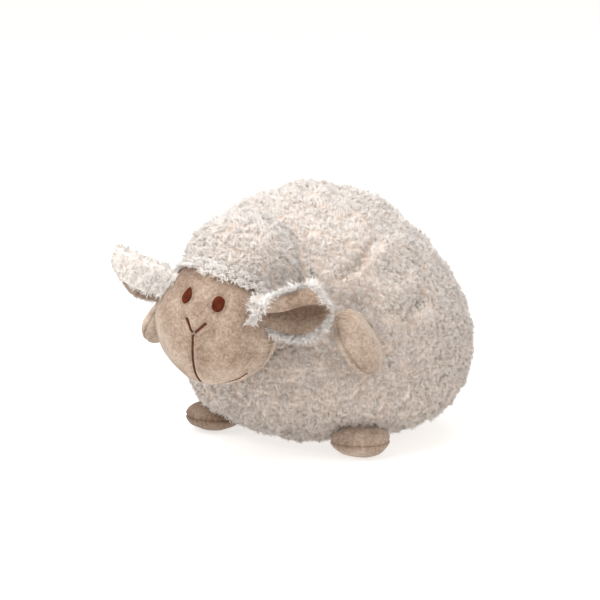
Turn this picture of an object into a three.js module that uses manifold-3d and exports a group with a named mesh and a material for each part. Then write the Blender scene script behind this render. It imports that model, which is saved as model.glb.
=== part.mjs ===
// A round plush sheep that sits on a table: a fleece ball of a body with a velour face set into its
// front, folded ears, two arms and two feet. Every sewn panel, filling and line of thread is its own
// solid. Millimetres, +Z up, the face looks along -Y and the toy's left side is +X. The origin is the
// middle of the flat patch that the body rests on.
import * as THREE from "three";
import { mergeVertices } from "three/addons/utils/BufferGeometryUtils.js";
import Module from "manifold-3d";

const wasm = await Module();
wasm.setup();

const radians = THREE.MathUtils.degToRad;

// Cloth, thread and the small gaps between sewn pieces
const fleeceThickness = 3.2;
const velourThickness = 1.8;
const fitGap = 0.3;
const seamGap = 0.4;
const threadWidth = 2.0;
const threadHeight = 0.9;
const cutReach = 600;

// Body
const bodyRadius = 128;
const bodyRise = 147;
const bodyDrop = 79;
const bodySettle = 0.5;
const bodyLean = 24;
const bodyTopExponent = 2.05;
const bodyFootExponent = 2.4;
const basePanelRadius = 62;
const bodySegments = 30;
const bodyRings = 16;
const bodyWaist = bodyDrop - bodySettle;

// Head, in its own frame: the neck ball's centre is the point that the head nods about
const neckRadius = 67;
const neckStandOff = 6;
const neckShift = -2;
const neckHeight = 152;
const neckClearance = 1.4;
const headYawAngle = 11;
const headRollAngle = 10;
const nodRange = [-8, 8];
const capRadius = 49;
const capBack = 9;
const capUp = 14;
const faceHalfWidth = 55;
const faceHalfDepth = 45;
const faceHalfHeight = 54;
const faceForward = 25;
const faceDown = 26;
const faceSeamForward = 27;
const faceSeamAngle = 12;
const headSegments = 26;
const headRings = 14;
const neckSegments = 24;

// Embroidery, measured from the middle of the face
const eyeSide = 15;
const eyeUp = 26;
const eyeHalfWidth = 5;
const eyeHalfHeight = 6.2;
const noseHalfWidth = 9.3;
const noseTop = 9;
const noseBottom = -1.5;
const smileForward = 10.5;
const smileRise = 35;

// Ears, from the root on the side of the head. The left one lies open and the right one stays folded.
const earSide = 41.5;
const earForward = 40;
const earUp = 8;
const earInset = 10;
const earLength = 72;
const earHalfWidth = 31;
const earRootHalfWidth = 23;
const earBroadShare = 0.55;
const earSweepAngle = 11;
const earLiftAngle = 5;
const earStartAngle = 105;
const earRootFoldAngle = 185;
const earFoldSpreadShare = 0.28;
const earLipSpreadShare = 0.2;
const earLipShare = 0.74;
const earFlapRange = [-25, 10];
const earBluntShare = 0.99;
const openEar = { tipFoldAngle: 75, lipAngle: 160, foldShare: 0.48, tipSpreadShare: 1 };
const foldedEar = { tipFoldAngle: 150, lipAngle: 0, foldShare: 0.56, tipSpreadShare: 0.4 };

// Paws: a pair of arms and a pair of feet, each a stuffed pillow of two panels
const armAzimuthAngle = 36.5;
const armHeight = 112;
const armPointingAngle = 78;
const rightArmHeight = 110;
const rightArmPointingAngle = 94;
const armTiltAngle = 31.5;
const armInset = 4;
const armHalfLength = 30;
const armHalfWidth = 29.5;
const armHalfThickness = 13.5;
const armSwingRange = [-12, 20];
const footAzimuthAngle = 34.5;
const footHeight = 14;
const footPointingAngle = 58;
const footInset = 12;
const footHalfLength = 27;
const footHalfWidth = 26;
const footHalfThickness = 14;
const footFlexRange = [0, 25];
const pawExponent = 2.3;
const pawRootShare = 0.6;
const hingeStandOff = 0.6;
const pawSegments = 18;
const pawRings = 10;
const sweepSteps = 6;

const fleece = new THREE.MeshStandardMaterial({ color: 0xe6dcd3, roughness: 0.95, metalness: 0 });
const velour = new THREE.MeshStandardMaterial({ color: 0xb99d86, roughness: 0.9, metalness: 0 });
const paleVelour = new THREE.MeshStandardMaterial({ color: 0xccb29a, roughness: 0.9, metalness: 0 });
const filling = new THREE.MeshStandardMaterial({ color: 0xf4f3f0, roughness: 1, metalness: 0 });
const eyeThread = new THREE.MeshStandardMaterial({ color: 0x6d2f18, roughness: 0.6, metalness: 0 });
const lineThread = new THREE.MeshStandardMaterial({ color: 0x5a2a1a, roughness: 0.6, metalness: 0 });

// Solids from geometries, and meshes from solids

function solidOf(geometry) {
  const bare = geometry.clone();
  bare.deleteAttribute("normal");
  bare.deleteAttribute("uv");
  const merged = mergeVertices(bare);
  const vertProperties = new Float32Array(merged.attributes.position.array);
  const triVerts = new Uint32Array(merged.index.array);
  return new wasm.Manifold(new wasm.Mesh({ numProp: 3, vertProperties, triVerts }));
}

function geometryOf(solid) {
  const { vertProperties, triVerts } = solid.getMesh();
  const geometry = new THREE.BufferGeometry();
  geometry.setAttribute("position", new THREE.BufferAttribute(new Float32Array(vertProperties), 3));
  geometry.setIndex(new THREE.BufferAttribute(new Uint32Array(triVerts), 1));
  geometry.computeVertexNormals();
  return geometry;
}

// A cut can leave a loose crumb beside the piece, so only the largest body is kept.
function largest(solid) {
  return solid.decompose().reduce((best, next) => (next.volume() > best.volume() ? next : best));
}

function pieceMesh(name, solid, material) {
  const mesh = new THREE.Mesh(geometryOf(largest(solid)), material);
  mesh.name = name;
  return mesh;
}

const moved = (solid, matrix) => solid.transform(Array.from(matrix.elements));

// A unit ball whose points a shape function moves. Its poles lie along Z.
function blob(segments, rings, shape) {
  const geometry = new THREE.SphereGeometry(1, segments, rings).rotateX(Math.PI / 2);
  const position = geometry.attributes.position;
  const direction = new THREE.Vector3();
  for (let i = 0; i < position.count; i += 1) {
    direction.fromBufferAttribute(position, i);
    const point = shape(direction);
    position.setXYZ(i, point.x, point.y, point.z);
  }
  return solidOf(geometry);
}

// Everything on the far side of a plane through a point, as a large box
function halfSpace(point, direction) {
  const box = new THREE.BoxGeometry(cutReach, cutReach, cutReach).translate(0, 0, cutReach / 2);
  const turn = new THREE.Quaternion().setFromUnitVectors(
    new THREE.Vector3(0, 0, 1),
    direction.clone().normalize(),
  );
  return moved(solidOf(box), new THREE.Matrix4().compose(point, turn, new THREE.Vector3(1, 1, 1)));
}

// The two sides of a plane, with a sewing gap between them
function splitAt(solid, point, direction) {
  const unit = direction.clone().normalize();
  const ahead = point.clone().addScaledVector(unit, seamGap / 2);
  const behind = point.clone().addScaledVector(unit, -seamGap / 2);
  return [
    solid.intersect(halfSpace(ahead, unit)),
    solid.intersect(halfSpace(behind, unit.clone().negate())),
  ];
}

// Cuts an obstacle out of a piece at every step of the piece's hinge, which turns about its own origin.
function clearOf(piece, obstacle, place, hinge, range) {
  let clear = piece;
  for (let step = 0; step <= sweepSteps; step += 1) {
    const angle = radians(THREE.MathUtils.lerp(range[0], range[1], step / sweepSteps));
    const turned = place.clone().multiply(new THREE.Matrix4().makeRotationAxis(hinge, angle));
    clear = clear.subtract(moved(obstacle, turned.invert()));
  }
  return clear.subtract(moved(obstacle, place.clone().invert()));
}

// Body

const leanAt = (rise) => (rise > 0 ? (bodyLean * (1 - Math.cos(Math.PI * rise))) / 2 : 0);
const exponentAt = (rise) => (rise > 0 ? bodyTopExponent : bodyFootExponent);

function bodyPoint(direction, grow) {
  const across = Math.hypot(direction.x, direction.y);
  const power = exponentAt(direction.z);
  const fit = (across ** power + Math.abs(direction.z) ** power) ** (-1 / power);
  const rise = direction.z * fit;
  const height = (rise > 0 ? bodyRise : bodyDrop) + grow;
  const radius = (bodyRadius + grow) * fit;
  return new THREE.Vector3(
    radius * direction.x,
    radius * direction.y - leanAt(rise),
    bodyWaist + height * rise,
  );
}

// Where the body's skin is at a height, along a bearing that turns from +X towards the front
function bodySkin(height, azimuth) {
  const rise = (height - bodyWaist) / (height > bodyWaist ? bodyRise : bodyDrop);
  const power = exponentAt(rise);
  const radius = bodyRadius * (1 - Math.abs(rise) ** power) ** (1 / power);
  return new THREE.Vector3(
    radius * Math.cos(radians(azimuth)),
    -radius * Math.sin(radians(azimuth)) - leanAt(rise),
    height,
  );
}

const floorCut = (lift) => halfSpace(new THREE.Vector3(0, 0, lift), new THREE.Vector3(0, 0, 1));
const bodyForm = (grow, lift) =>
  blob(bodySegments, bodyRings, (direction) => bodyPoint(direction, grow)).intersect(floorCut(lift));

const neckCentre = new THREE.Vector3(neckShift, -(bodyRadius + neckStandOff), neckHeight);
const neckBall = (radius) =>
  solidOf(new THREE.SphereGeometry(radius, neckSegments, neckSegments / 2));
const neckDish = (clearance) =>
  moved(neckBall(neckRadius + clearance), new THREE.Matrix4().setPosition(neckCentre));

const bodyOutside = bodyForm(0, 0);
const bodyObstacle = bodyForm(fitGap, 0).subtract(neckDish(neckClearance));
const bodyInside = bodyForm(-fleeceThickness, fleeceThickness);
const bodyFill = bodyForm(-fleeceThickness - fitGap, fleeceThickness + fitGap);

function baseDisc(radius) {
  const geometry = new THREE.CylinderGeometry(radius, radius, bodyDrop, bodySegments);
  return solidOf(geometry.rotateX(Math.PI / 2));
}

function buildBody() {
  const group = new THREE.Group();
  const shell = bodyOutside.subtract(bodyInside).subtract(neckDish(neckClearance));
  const sides = shell.subtract(baseDisc(basePanelRadius + seamGap));
  const middle = new THREE.Vector3();
  const [left, right] = splitAt(sides, middle, new THREE.Vector3(1, 0, 0));
  group.add(pieceMesh("body_panel_left", left, fleece));
  group.add(pieceMesh("body_panel_right", right, fleece));
  group.add(pieceMesh("body_base_panel", shell.intersect(baseDisc(basePanelRadius)), fleece));
  const fill = bodyFill.subtract(neckDish(neckClearance));
  group.add(pieceMesh("body_filling", fill, filling));
  return group;
}

// Head

const headTurn = new THREE.Euler(0, radians(headRollAngle), radians(headYawAngle), "ZYX");
const headPlace = new THREE.Matrix4().makeRotationFromEuler(headTurn).setPosition(neckCentre);
const toHead = headPlace.clone().invert();
const nodAxis = new THREE.Vector3(1, 0, 0);

const capForm = (grow) =>
  blob(headSegments, headRings, (direction) =>
    direction.clone().multiplyScalar(capRadius + grow).add(new THREE.Vector3(0, capBack, capUp)),
  );

const faceMiddle = new THREE.Vector3(0, -faceForward, -faceDown);
const faceForm = (grow) =>
  blob(headSegments, headRings, (direction) =>
    new THREE.Vector3(faceHalfWidth + grow, faceHalfDepth + grow, faceHalfHeight + grow)
      .multiply(direction)
      .add(faceMiddle),
  );

function headForm(grow, obstacle, bodyPart) {
  const front = clearOf(capForm(grow).add(faceForm(grow)), obstacle, headPlace, nodAxis, nodRange);
  const plug = neckBall(neckRadius + grow).intersect(moved(bodyPart, toHead));
  return largest(front.add(plug));
}

const headOutside = headForm(0, bodyObstacle, bodyOutside);
const headHollow = (inset) =>
  headForm(-inset, bodyForm(inset, 0).subtract(neckDish(neckClearance - inset)), bodyForm(-inset, 0));

function buildHead() {
  const group = new THREE.Group();
  const shell = headOutside.subtract(headHollow(fleeceThickness));
  const seam = faceMiddle.clone().add(new THREE.Vector3(0, faceForward - faceSeamForward, 0));
  const seamForward = new THREE.Vector3(0, -1, 0).applyAxisAngle(nodAxis, radians(faceSeamAngle));
  const back = shell.intersect(moved(bodyForm(-seamGap / 2, 0), toHead));
  const front = shell.subtract(moved(bodyForm(seamGap / 2, 0), toHead));
  const cap = front.subtract(faceForm(seamGap));
  const [face, jaw] = splitAt(front.intersect(faceForm(0)), seam, seamForward);
  group.add(pieceMesh("face_panel", face, velour));
  group.add(pieceMesh("jaw_panel", jaw, paleVelour));
  group.add(pieceMesh("head_cap_panel", cap, fleece));
  group.add(pieceMesh("head_back_panel", back, fleece));
  group.add(pieceMesh("head_filling", headHollow(fleeceThickness + fitGap), filling));
  return group;
}

// Embroidery: raised thread that follows the face, cut from a thin layer just above the cloth

const stitchLayer = faceForm(fitGap + threadHeight).subtract(faceForm(fitGap));

// A bar of thread width that runs from one place of the face to another and passes through it
function stitchBar(from, to) {
  const along = new THREE.Vector2().subVectors(to, from);
  const bar = new THREE.BoxGeometry(along.length(), cutReach, threadWidth);
  bar.translate(along.length() / 2, -cutReach / 2, 0).rotateY(-along.angle());
  return solidOf(bar.translate(from.x, faceMiddle.y, from.y + faceMiddle.z));
}

function buildEye(name, side) {
  const outline = new THREE.Shape().absellipse(0, 0, eyeHalfWidth, eyeHalfHeight, 0, Math.PI * 2);
  const prism = new THREE.ExtrudeGeometry(outline, {
    depth: cutReach,
    bevelEnabled: false,
    curveSegments: 9,
  });
  prism.rotateX(Math.PI / 2).translate(side * eyeSide, faceMiddle.y, faceMiddle.z + eyeUp);
  return pieceMesh(name, stitchLayer.intersect(solidOf(prism)), eyeThread);
}

function buildNose() {
  const group = new THREE.Group();
  const half = threadWidth / 2;
  for (const [name, side] of [["nose_stitch_left", 1], ["nose_stitch_right", -1]]) {
    const foot = new THREE.Vector2(side * (half + fitGap), noseBottom);
    const top = new THREE.Vector2(side * noseHalfWidth, noseTop);
    const bar = stitchBar(foot, top).intersect(
      halfSpace(new THREE.Vector3(side * (fitGap / 2), 0, 0), new THREE.Vector3(side, 0, 0)),
    );
    group.add(pieceMesh(name, stitchLayer.intersect(bar), lineThread));
  }
  const smilePlane = faceMiddle.clone().add(new THREE.Vector3(0, -smileForward, 0));
  const line = new THREE.BoxGeometry(threadWidth, cutReach, cutReach);
  const lipTop = faceMiddle.z + noseBottom - threadWidth;
  line.translate(0, smilePlane.y - half - fitGap - cutReach / 2, lipTop - cutReach / 2);
  group.add(pieceMesh("lip_stitch", stitchLayer.intersect(solidOf(line)), lineThread));
  const smile = new THREE.BoxGeometry(cutReach, threadWidth, cutReach);
  smile.translate(0, smilePlane.y, faceMiddle.z - smileRise - cutReach / 2);
  group.add(pieceMesh("smile_stitch", stitchLayer.intersect(solidOf(smile)), lineThread));
  return group;
}

// Ears: a leaf of cloth that is folded in half along its length at the root and opens towards its tip.
// The leaf is walked from its lower edge over the fold to its upper edge, along a heading in the
// plane across the ear: 0 is forward and 90 is up.

const earSteps = 7;
const earLanes = 14;
const foldOpensShares = [0.1, 1.3];
const lipRisesShares = [0, 0.4];
const lipFallsShares = [0.6, 1.1];

function earHeading(leaf, along, share) {
  const { lerp, smoothstep } = THREE.MathUtils;
  const opened = smoothstep(along, ...foldOpensShares);
  const fold = lerp(earRootFoldAngle, leaf.tipFoldAngle, opened);
  const spread = lerp(earFoldSpreadShare, leaf.tipSpreadShare, opened);
  const lipRise = smoothstep(along, ...lipRisesShares) * (1 - smoothstep(along, ...lipFallsShares));
  const turned = (middle, width) => smoothstep(share, middle - width / 2, middle + width / 2);
  const heading = earStartAngle - fold * turned(leaf.foldShare, spread);
  return radians(heading + leaf.lipAngle * lipRise * turned(earLipShare, earLipSpreadShare));
}

function earHalfWidthAt(along) {
  if (along < earBroadShare) {
    const share = THREE.MathUtils.smoothstep(along, 0, earBroadShare);
    return THREE.MathUtils.lerp(earRootHalfWidth, earHalfWidth, share);
  }
  const past = (along - earBroadShare) / (1 - earBroadShare);
  return earHalfWidth * Math.sqrt(1 - (earBluntShare * past) ** 2);
}

// One row across the ear, pushed off the leaf to its fleece side by an offset
function earRow(leaf, along, offset) {
  const lane = (2 * earHalfWidthAt(along)) / earLanes;
  const headingAt = (i) => earHeading(leaf, along, i / earLanes);
  const line = [new THREE.Vector2()];
  for (let i = 0; i < earLanes; i += 1) {
    const heading = headingAt(i + 1 / 2);
    const step = new THREE.Vector2(Math.cos(heading), Math.sin(heading)).multiplyScalar(lane);
    line.push(step.add(line[i]));
  }
  const fold = line[Math.round(earLanes * leaf.foldShare)];
  return line.map((point, i) => {
    const back = new THREE.Vector2(-Math.sin(headingAt(i)), Math.cos(headingAt(i)));
    const at = point.clone().sub(fold).addScaledVector(back, offset);
    return new THREE.Vector3(earLength * along - earInset, -at.x, at.y);
  });
}

// A closed sheet of cloth between two offsets of the leaf
function earSheet(leaf, inner, outer) {
  const across = earLanes + 1;
  const down = earSteps + 1;
  const vertices = [];
  for (const offset of [inner, outer]) {
    for (let step = 0; step < down; step += 1) {
      const along = Math.sin((Math.PI / 2) * (step / earSteps));
      earRow(leaf, along, offset).forEach((point) => vertices.push(...point.toArray()));
    }
  }
  const at = (layer, step, lane) => (layer * down + step) * across + lane;
  const faces = [];
  const quad = (a, b, c, d) => faces.push(a, c, b, a, d, c);
  for (let step = 0; step < earSteps; step += 1) {
    for (let lane = 0; lane < earLanes; lane += 1) {
      quad(at(1, step, lane), at(1, step + 1, lane), at(1, step + 1, lane + 1), at(1, step, lane + 1));
      quad(at(0, step, lane), at(0, step, lane + 1), at(0, step + 1, lane + 1), at(0, step + 1, lane));
    }
    quad(at(0, step, 0), at(0, step + 1, 0), at(1, step + 1, 0), at(1, step, 0));
    const last = earLanes;
    quad(at(0, step, last), at(1, step, last), at(1, step + 1, last), at(0, step + 1, last));
  }
  for (let lane = 0; lane < earLanes; lane += 1) {
    const end = earSteps;
    quad(at(0, 0, lane), at(1, 0, lane), at(1, 0, lane + 1), at(0, 0, lane + 1));
    quad(at(0, end, lane), at(0, end, lane + 1), at(1, end, lane + 1), at(1, end, lane));
  }
  const geometry = new THREE.BufferGeometry();
  geometry.setAttribute("position", new THREE.Float32BufferAttribute(vertices, 3));
  geometry.setIndex(faces);
  return solidOf(geometry);
}

const earHinge = new THREE.Vector3(0, 1, 0);

function buildEar(name, side, leaf) {
  const group = new THREE.Group();
  const place = new THREE.Matrix4().compose(
    new THREE.Vector3(earSide, -earForward, earUp),
    new THREE.Quaternion().setFromEuler(new THREE.Euler(0, 0, radians(earSweepAngle), "ZYX")),
    new THREE.Vector3(1, 1, 1),
  );
  const lay = new THREE.Matrix4().makeRotationY(radians(-earLiftAngle));
  const grownHead = capForm(fitGap).add(faceForm(fitGap));
  for (const [part, inner, outer, material] of [
    ["back", fitGap, fitGap + fleeceThickness, fleece],
    ["lining", -velourThickness, 0, velour],
  ]) {
    const sheet = moved(earSheet(leaf, inner, outer), lay);
    const clear = clearOf(sheet, grownHead, place, earHinge, earFlapRange);
    group.add(pieceMesh(`${name}_${part}`, clear, material));
  }
  place.decompose(group.position, group.quaternion, group.scale);
  const mirror = new THREE.Group();
  mirror.scale.x = side;
  mirror.add(group);
  return mirror;
}

// Paws: X points out from the hinge on the body's skin, Y lies along the sewn root, Z is the thickness

function pawForm(size, grow) {
  return blob(pawSegments, pawRings, (direction) => {
    const power = pawExponent;
    const across = Math.hypot(direction.x, direction.y);
    const fit = across
      ? (Math.abs(direction.x / across) ** power + Math.abs(direction.y / across) ** power) ** (-1 / power)
      : 1;
    const x = direction.x * fit;
    const taper = THREE.MathUtils.lerp(1, pawRootShare, THREE.MathUtils.clamp(-x, 0, 1));
    return new THREE.Vector3(
      size.halfLength - size.inset + (size.halfLength + grow) * x,
      (size.halfWidth + grow) * direction.y * fit,
      (size.halfThickness + grow) * direction.z * taper,
    );
  });
}

function buildPaw(name, side, size) {
  const group = new THREE.Group();
  const shell = pawForm(size, 0).subtract(pawForm(size, -velourThickness));
  const [upper, lower] = splitAt(shell, new THREE.Vector3(), new THREE.Vector3(0, 0, 1));
  const fill = pawForm(size, -velourThickness - fitGap);
  const table = moved(floorCut(0), size.place.clone().invert());
  for (const [part, solid, material] of [
    [size.upperName, upper, size.material],
    [size.lowerName, lower, size.material],
    ["filling", fill, filling],
  ]) {
    const clear = clearOf(solid, bodyObstacle, size.place, size.hinge, size.range);
    group.add(pieceMesh(`${name}_${part}`, clear.intersect(table), material));
  }
  size.place.decompose(group.position, group.quaternion, group.scale);
  const mirror = new THREE.Group();
  mirror.scale.x = side;
  mirror.add(group);
  return mirror;
}

// A paw's place: its hinge stands a little off the skin, and it points along a bearing like the skin's.
function pawPlace(height, azimuth, pointing, tilt) {
  const skin = bodySkin(height, azimuth);
  const out = new THREE.Vector3(Math.cos(radians(azimuth)), -Math.sin(radians(azimuth)), 0);
  const x = new THREE.Vector3(Math.cos(radians(pointing)), -Math.sin(radians(pointing)), 0);
  const y = new THREE.Vector3(-x.y, x.x, 0).applyAxisAngle(x, radians(tilt));
  const z = new THREE.Vector3().crossVectors(x, y);
  return new THREE.Matrix4().makeBasis(x, y, z).setPosition(skin.addScaledVector(out, hingeStandOff));
}

const hingeAxis = new THREE.Vector3(0, 1, 0);

const armAt = (height, pointing) => ({
  halfLength: armHalfLength,
  halfWidth: armHalfWidth,
  halfThickness: armHalfThickness,
  inset: armInset,
  place: pawPlace(height, armAzimuthAngle, pointing, armTiltAngle - 90),
  hinge: hingeAxis,
  range: armSwingRange,
  material: paleVelour,
  upperName: "outer_panel",
  lowerName: "palm_panel",
});

const foot = {
  halfLength: footHalfLength,
  halfWidth: footHalfWidth,
  halfThickness: footHalfThickness,
  inset: footInset,
  place: pawPlace(footHeight, footAzimuthAngle, footPointingAngle, 0),
  hinge: hingeAxis,
  range: footFlexRange,
  material: velour,
  upperName: "upper_panel",
  lowerName: "sole_panel",
};

// The whole toy

const sheep = new THREE.Group();
sheep.add(buildBody());

const head = buildHead();
head.add(buildEye("eye_left", 1), buildEye("eye_right", -1), buildNose());
head.add(buildEar("ear_left", 1, openEar), buildEar("ear_right", -1, foldedEar));
headPlace.decompose(head.position, head.quaternion, head.scale);
sheep.add(head);

sheep.add(buildPaw("arm_left", 1, armAt(armHeight, armPointingAngle)));
sheep.add(buildPaw("arm_right", -1, armAt(rightArmHeight, rightArmPointingAngle)));
sheep.add(buildPaw("foot_left", 1, foot), buildPaw("foot_right", -1, foot));

export default sheep;
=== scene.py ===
# %% [markdown]
# A round plush sheep. Its covers are curly fleece and short velour, sewn round soft filling, and its
# face is embroidered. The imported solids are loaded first, because every cloth piece made below takes the
# place of one of them and moves with the same body.

# %% Load the frame
import math

import bmesh
import bpy
import numpy as np
from mathutils import Matrix, Vector
from mathutils.kdtree import KDTree


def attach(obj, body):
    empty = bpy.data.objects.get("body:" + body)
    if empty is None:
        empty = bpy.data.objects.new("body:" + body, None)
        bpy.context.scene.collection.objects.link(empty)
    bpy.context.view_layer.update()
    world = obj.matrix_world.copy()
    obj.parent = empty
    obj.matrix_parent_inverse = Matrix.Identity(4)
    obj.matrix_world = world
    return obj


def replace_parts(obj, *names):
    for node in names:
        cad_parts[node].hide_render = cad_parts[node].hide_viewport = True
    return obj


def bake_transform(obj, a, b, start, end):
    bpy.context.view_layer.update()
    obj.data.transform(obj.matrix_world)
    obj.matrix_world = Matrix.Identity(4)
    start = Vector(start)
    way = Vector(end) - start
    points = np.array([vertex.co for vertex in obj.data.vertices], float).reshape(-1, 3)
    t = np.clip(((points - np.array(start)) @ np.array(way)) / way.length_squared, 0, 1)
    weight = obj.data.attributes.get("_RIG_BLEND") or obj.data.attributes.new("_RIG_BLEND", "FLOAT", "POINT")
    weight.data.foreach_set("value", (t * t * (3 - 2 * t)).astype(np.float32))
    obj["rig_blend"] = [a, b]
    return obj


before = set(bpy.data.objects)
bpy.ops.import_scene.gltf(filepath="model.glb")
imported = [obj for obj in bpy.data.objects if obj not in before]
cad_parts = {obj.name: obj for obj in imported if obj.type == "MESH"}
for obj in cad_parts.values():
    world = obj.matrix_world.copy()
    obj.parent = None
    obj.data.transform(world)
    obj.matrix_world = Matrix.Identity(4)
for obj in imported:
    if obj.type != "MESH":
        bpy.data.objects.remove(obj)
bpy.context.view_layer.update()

MM = 0.001

# %% [markdown]
# The camera, the light and the floor. The toy was photographed in a white studio, from its left front and
# a little above, through a long lens. A long lens keeps the near foot about as large as the far one. The
# light comes from all round, a little more of it from the upper left, so that shadows are soft.

# %% Camera
CAMERA_TURN = math.radians(36)
CAMERA_RISE = math.radians(11.5)
CAMERA_DISTANCE = 2.6
SEEN_WIDTH = 0.540
LOOKED_AT = Vector((-0.0218, -0.0121, 0.118))
SENSOR_WIDTH = 36


def aim(thing, place, way):
    """Puts a camera or a light into the scene, at a place and looking along a way."""
    bpy.context.scene.collection.objects.link(thing)
    thing.location = place
    thing.rotation_mode = "QUATERNION"
    thing.rotation_quaternion = way.to_track_quat("-Z", "Y")


towards_camera = Vector(
    (
        math.sin(CAMERA_TURN) * math.cos(CAMERA_RISE),
        -math.cos(CAMERA_TURN) * math.cos(CAMERA_RISE),
        math.sin(CAMERA_RISE),
    )
)
camera = bpy.data.objects.new("camera", bpy.data.cameras.new("camera"))
camera.data.sensor_width = SENSOR_WIDTH
camera.data.lens = SENSOR_WIDTH * CAMERA_DISTANCE / SEEN_WIDTH
aim(camera, LOOKED_AT + towards_camera * CAMERA_DISTANCE, -towards_camera)
bpy.context.scene.camera = camera
bpy.context.scene.view_settings.view_transform = "Standard"
print("lens, mm:", round(camera.data.lens, 1))

# %% Light
LIGHTS = {
    "key_light": {"place": Vector((-0.5, -1.5, 2.0)), "size": 1.5, "power": 38},
    "top_light": {"place": Vector((0.15, 0.2, 2.3)), "size": 1.6, "power": 24},
    "fill_light": {"place": Vector((1.9, -0.1, 1.1)), "size": 1.4, "power": 7},
}
WORLD_COLOUR, WORLD_STRENGTH = (1.0, 0.94, 0.90, 1), 0.64

for name, settings in LIGHTS.items():
    light = bpy.data.objects.new(name, bpy.data.lights.new(name, "AREA"))
    light.data.size = settings["size"]
    light.data.energy = settings["power"]
    aim(light, settings["place"], LOOKED_AT - settings["place"])
world = bpy.data.worlds.new("studio")
world.use_nodes = True
background = world.node_tree.nodes["Background"]
background.inputs["Color"].default_value = WORLD_COLOUR
background.inputs["Strength"].default_value = WORLD_STRENGTH
bpy.context.scene.world = world
print("lights:", list(LIGHTS))

# %% [markdown]
# Colours and textures are node trees. Writing the sums as plain Python expressions keeps them readable, so
# a small class wraps a socket, and every operator on it adds one Math node. Any other node comes from one
# method, which takes the node's type, then its settings, then what goes into its sockets.

# %% Shader helpers
class Value:
    def __init__(self, finish, socket):
        self.finish, self.socket = finish, socket

    def _sum(self, operation, first, second):
        node = self.finish.node("ShaderNodeMath", {"operation": operation}, {0: first, 1: second})
        return node["Value"]

    def __add__(self, other):
        return self._sum("ADD", self, other)

    def __sub__(self, other):
        return self._sum("SUBTRACT", self, other)

    def __rsub__(self, other):
        return self._sum("SUBTRACT", other, self)

    def __mul__(self, other):
        return self._sum("MULTIPLY", self, other)

    __radd__, __rmul__ = __add__, __mul__


class Node:
    def __init__(self, finish, node):
        self.finish, self.node = finish, node

    def __getitem__(self, name):
        return Value(self.finish, self.node.outputs[name])


class Finish:
    def __init__(self, name):
        self.material = bpy.data.materials.new(name)
        self.material.use_nodes = True
        self.tree = self.material.node_tree
        self.tree.nodes.clear()

    def node(self, kind, settings=None, inputs=None):
        made = self.tree.nodes.new(kind)
        for name, value in (settings or {}).items():
            if name == "stops":
                self._stops(made.color_ramp.elements, value)
            else:
                setattr(made, name, value)
        for name, value in (inputs or {}).items():
            if isinstance(value, Value):
                self.tree.links.new(value.socket, made.inputs[name])
            else:
                made.inputs[name].default_value = value
        return Node(self, made)

    def _stops(self, elements, stops):
        while len(elements) < len(stops):
            elements.new(0.5)
        for element, (place, colour) in zip(elements, stops):
            element.position = place
            element.color = (*colour, 1)

    def ramp(self, value, *stops):
        return self.node("ShaderNodeValToRGB", {"stops": stops}, {"Fac": value})["Color"]

    def mottle(self, place, scale, detail):
        inputs = {"Vector": place, "Scale": scale, "Detail": detail}
        return self.node("ShaderNodeTexNoise", {}, inputs)["Fac"]

    def mix(self, share, first, second, way="MIX"):
        """The Mix node has sockets for numbers, for vectors and, as 6, 7 and output 2, for colours."""
        settings = {"data_type": "RGBA", "blend_type": way}
        mixed = self.node("ShaderNodeMix", settings, {0: share, 6: first, 7: second})
        return Value(self, mixed.node.outputs[2])

    def surface(self, **inputs):
        shader = self.node("ShaderNodeBsdfPrincipled", {}, inputs)
        self.node("ShaderNodeOutputMaterial", {}, {"Surface": shader["BSDF"]})
        return self.material


# %% [markdown]
# The floor is a plain pale sheet, larger than the camera sees. It glows a little, like the lit table that
# such toys are photographed on, so that the toy's own shadow stays faint.

# %% Floor
FLOOR_HALF = 6.0
floor_mesh = bmesh.new()
bmesh.ops.create_grid(floor_mesh, x_segments=2, y_segments=2, size=FLOOR_HALF)
floor_data = bpy.data.meshes.new("floor")
floor_mesh.to_mesh(floor_data)
floor_mesh.free()
floor = bpy.data.objects.new("floor", floor_data)
bpy.context.scene.collection.objects.link(floor)
paper = Finish("pale floor")
floor_data.materials.append(
    paper.surface(
        **{
            "Base Color": (0.48, 0.475, 0.47, 1),
            "Roughness": 0.8,
            "Specular IOR Level": 0.1,
            "Emission Color": (1, 0.99, 0.975, 1),
            "Emission Strength": 0.68,
        }
    )
)

# %% [markdown]
# Velour is a short, dense nap that lies in patches: brushed one way it looks lighter, the other way darker.
# Three sizes of noise make the patches, the mottling and the single tufts. The tufts also give a fine bump,
# and sheen brightens the cloth where it turns away, as a nap does.

# %% Velour
# Painted shade: a point attribute and a tint that darken the velour's colour where shade falls.
PAINTED_SHADE_ATTRIBUTE, PAINTED_SHADE_TINT = "hollow", (0.45, 0.38, 0.33, 1)
NAP_HEIGHT = 0.0007


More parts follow.
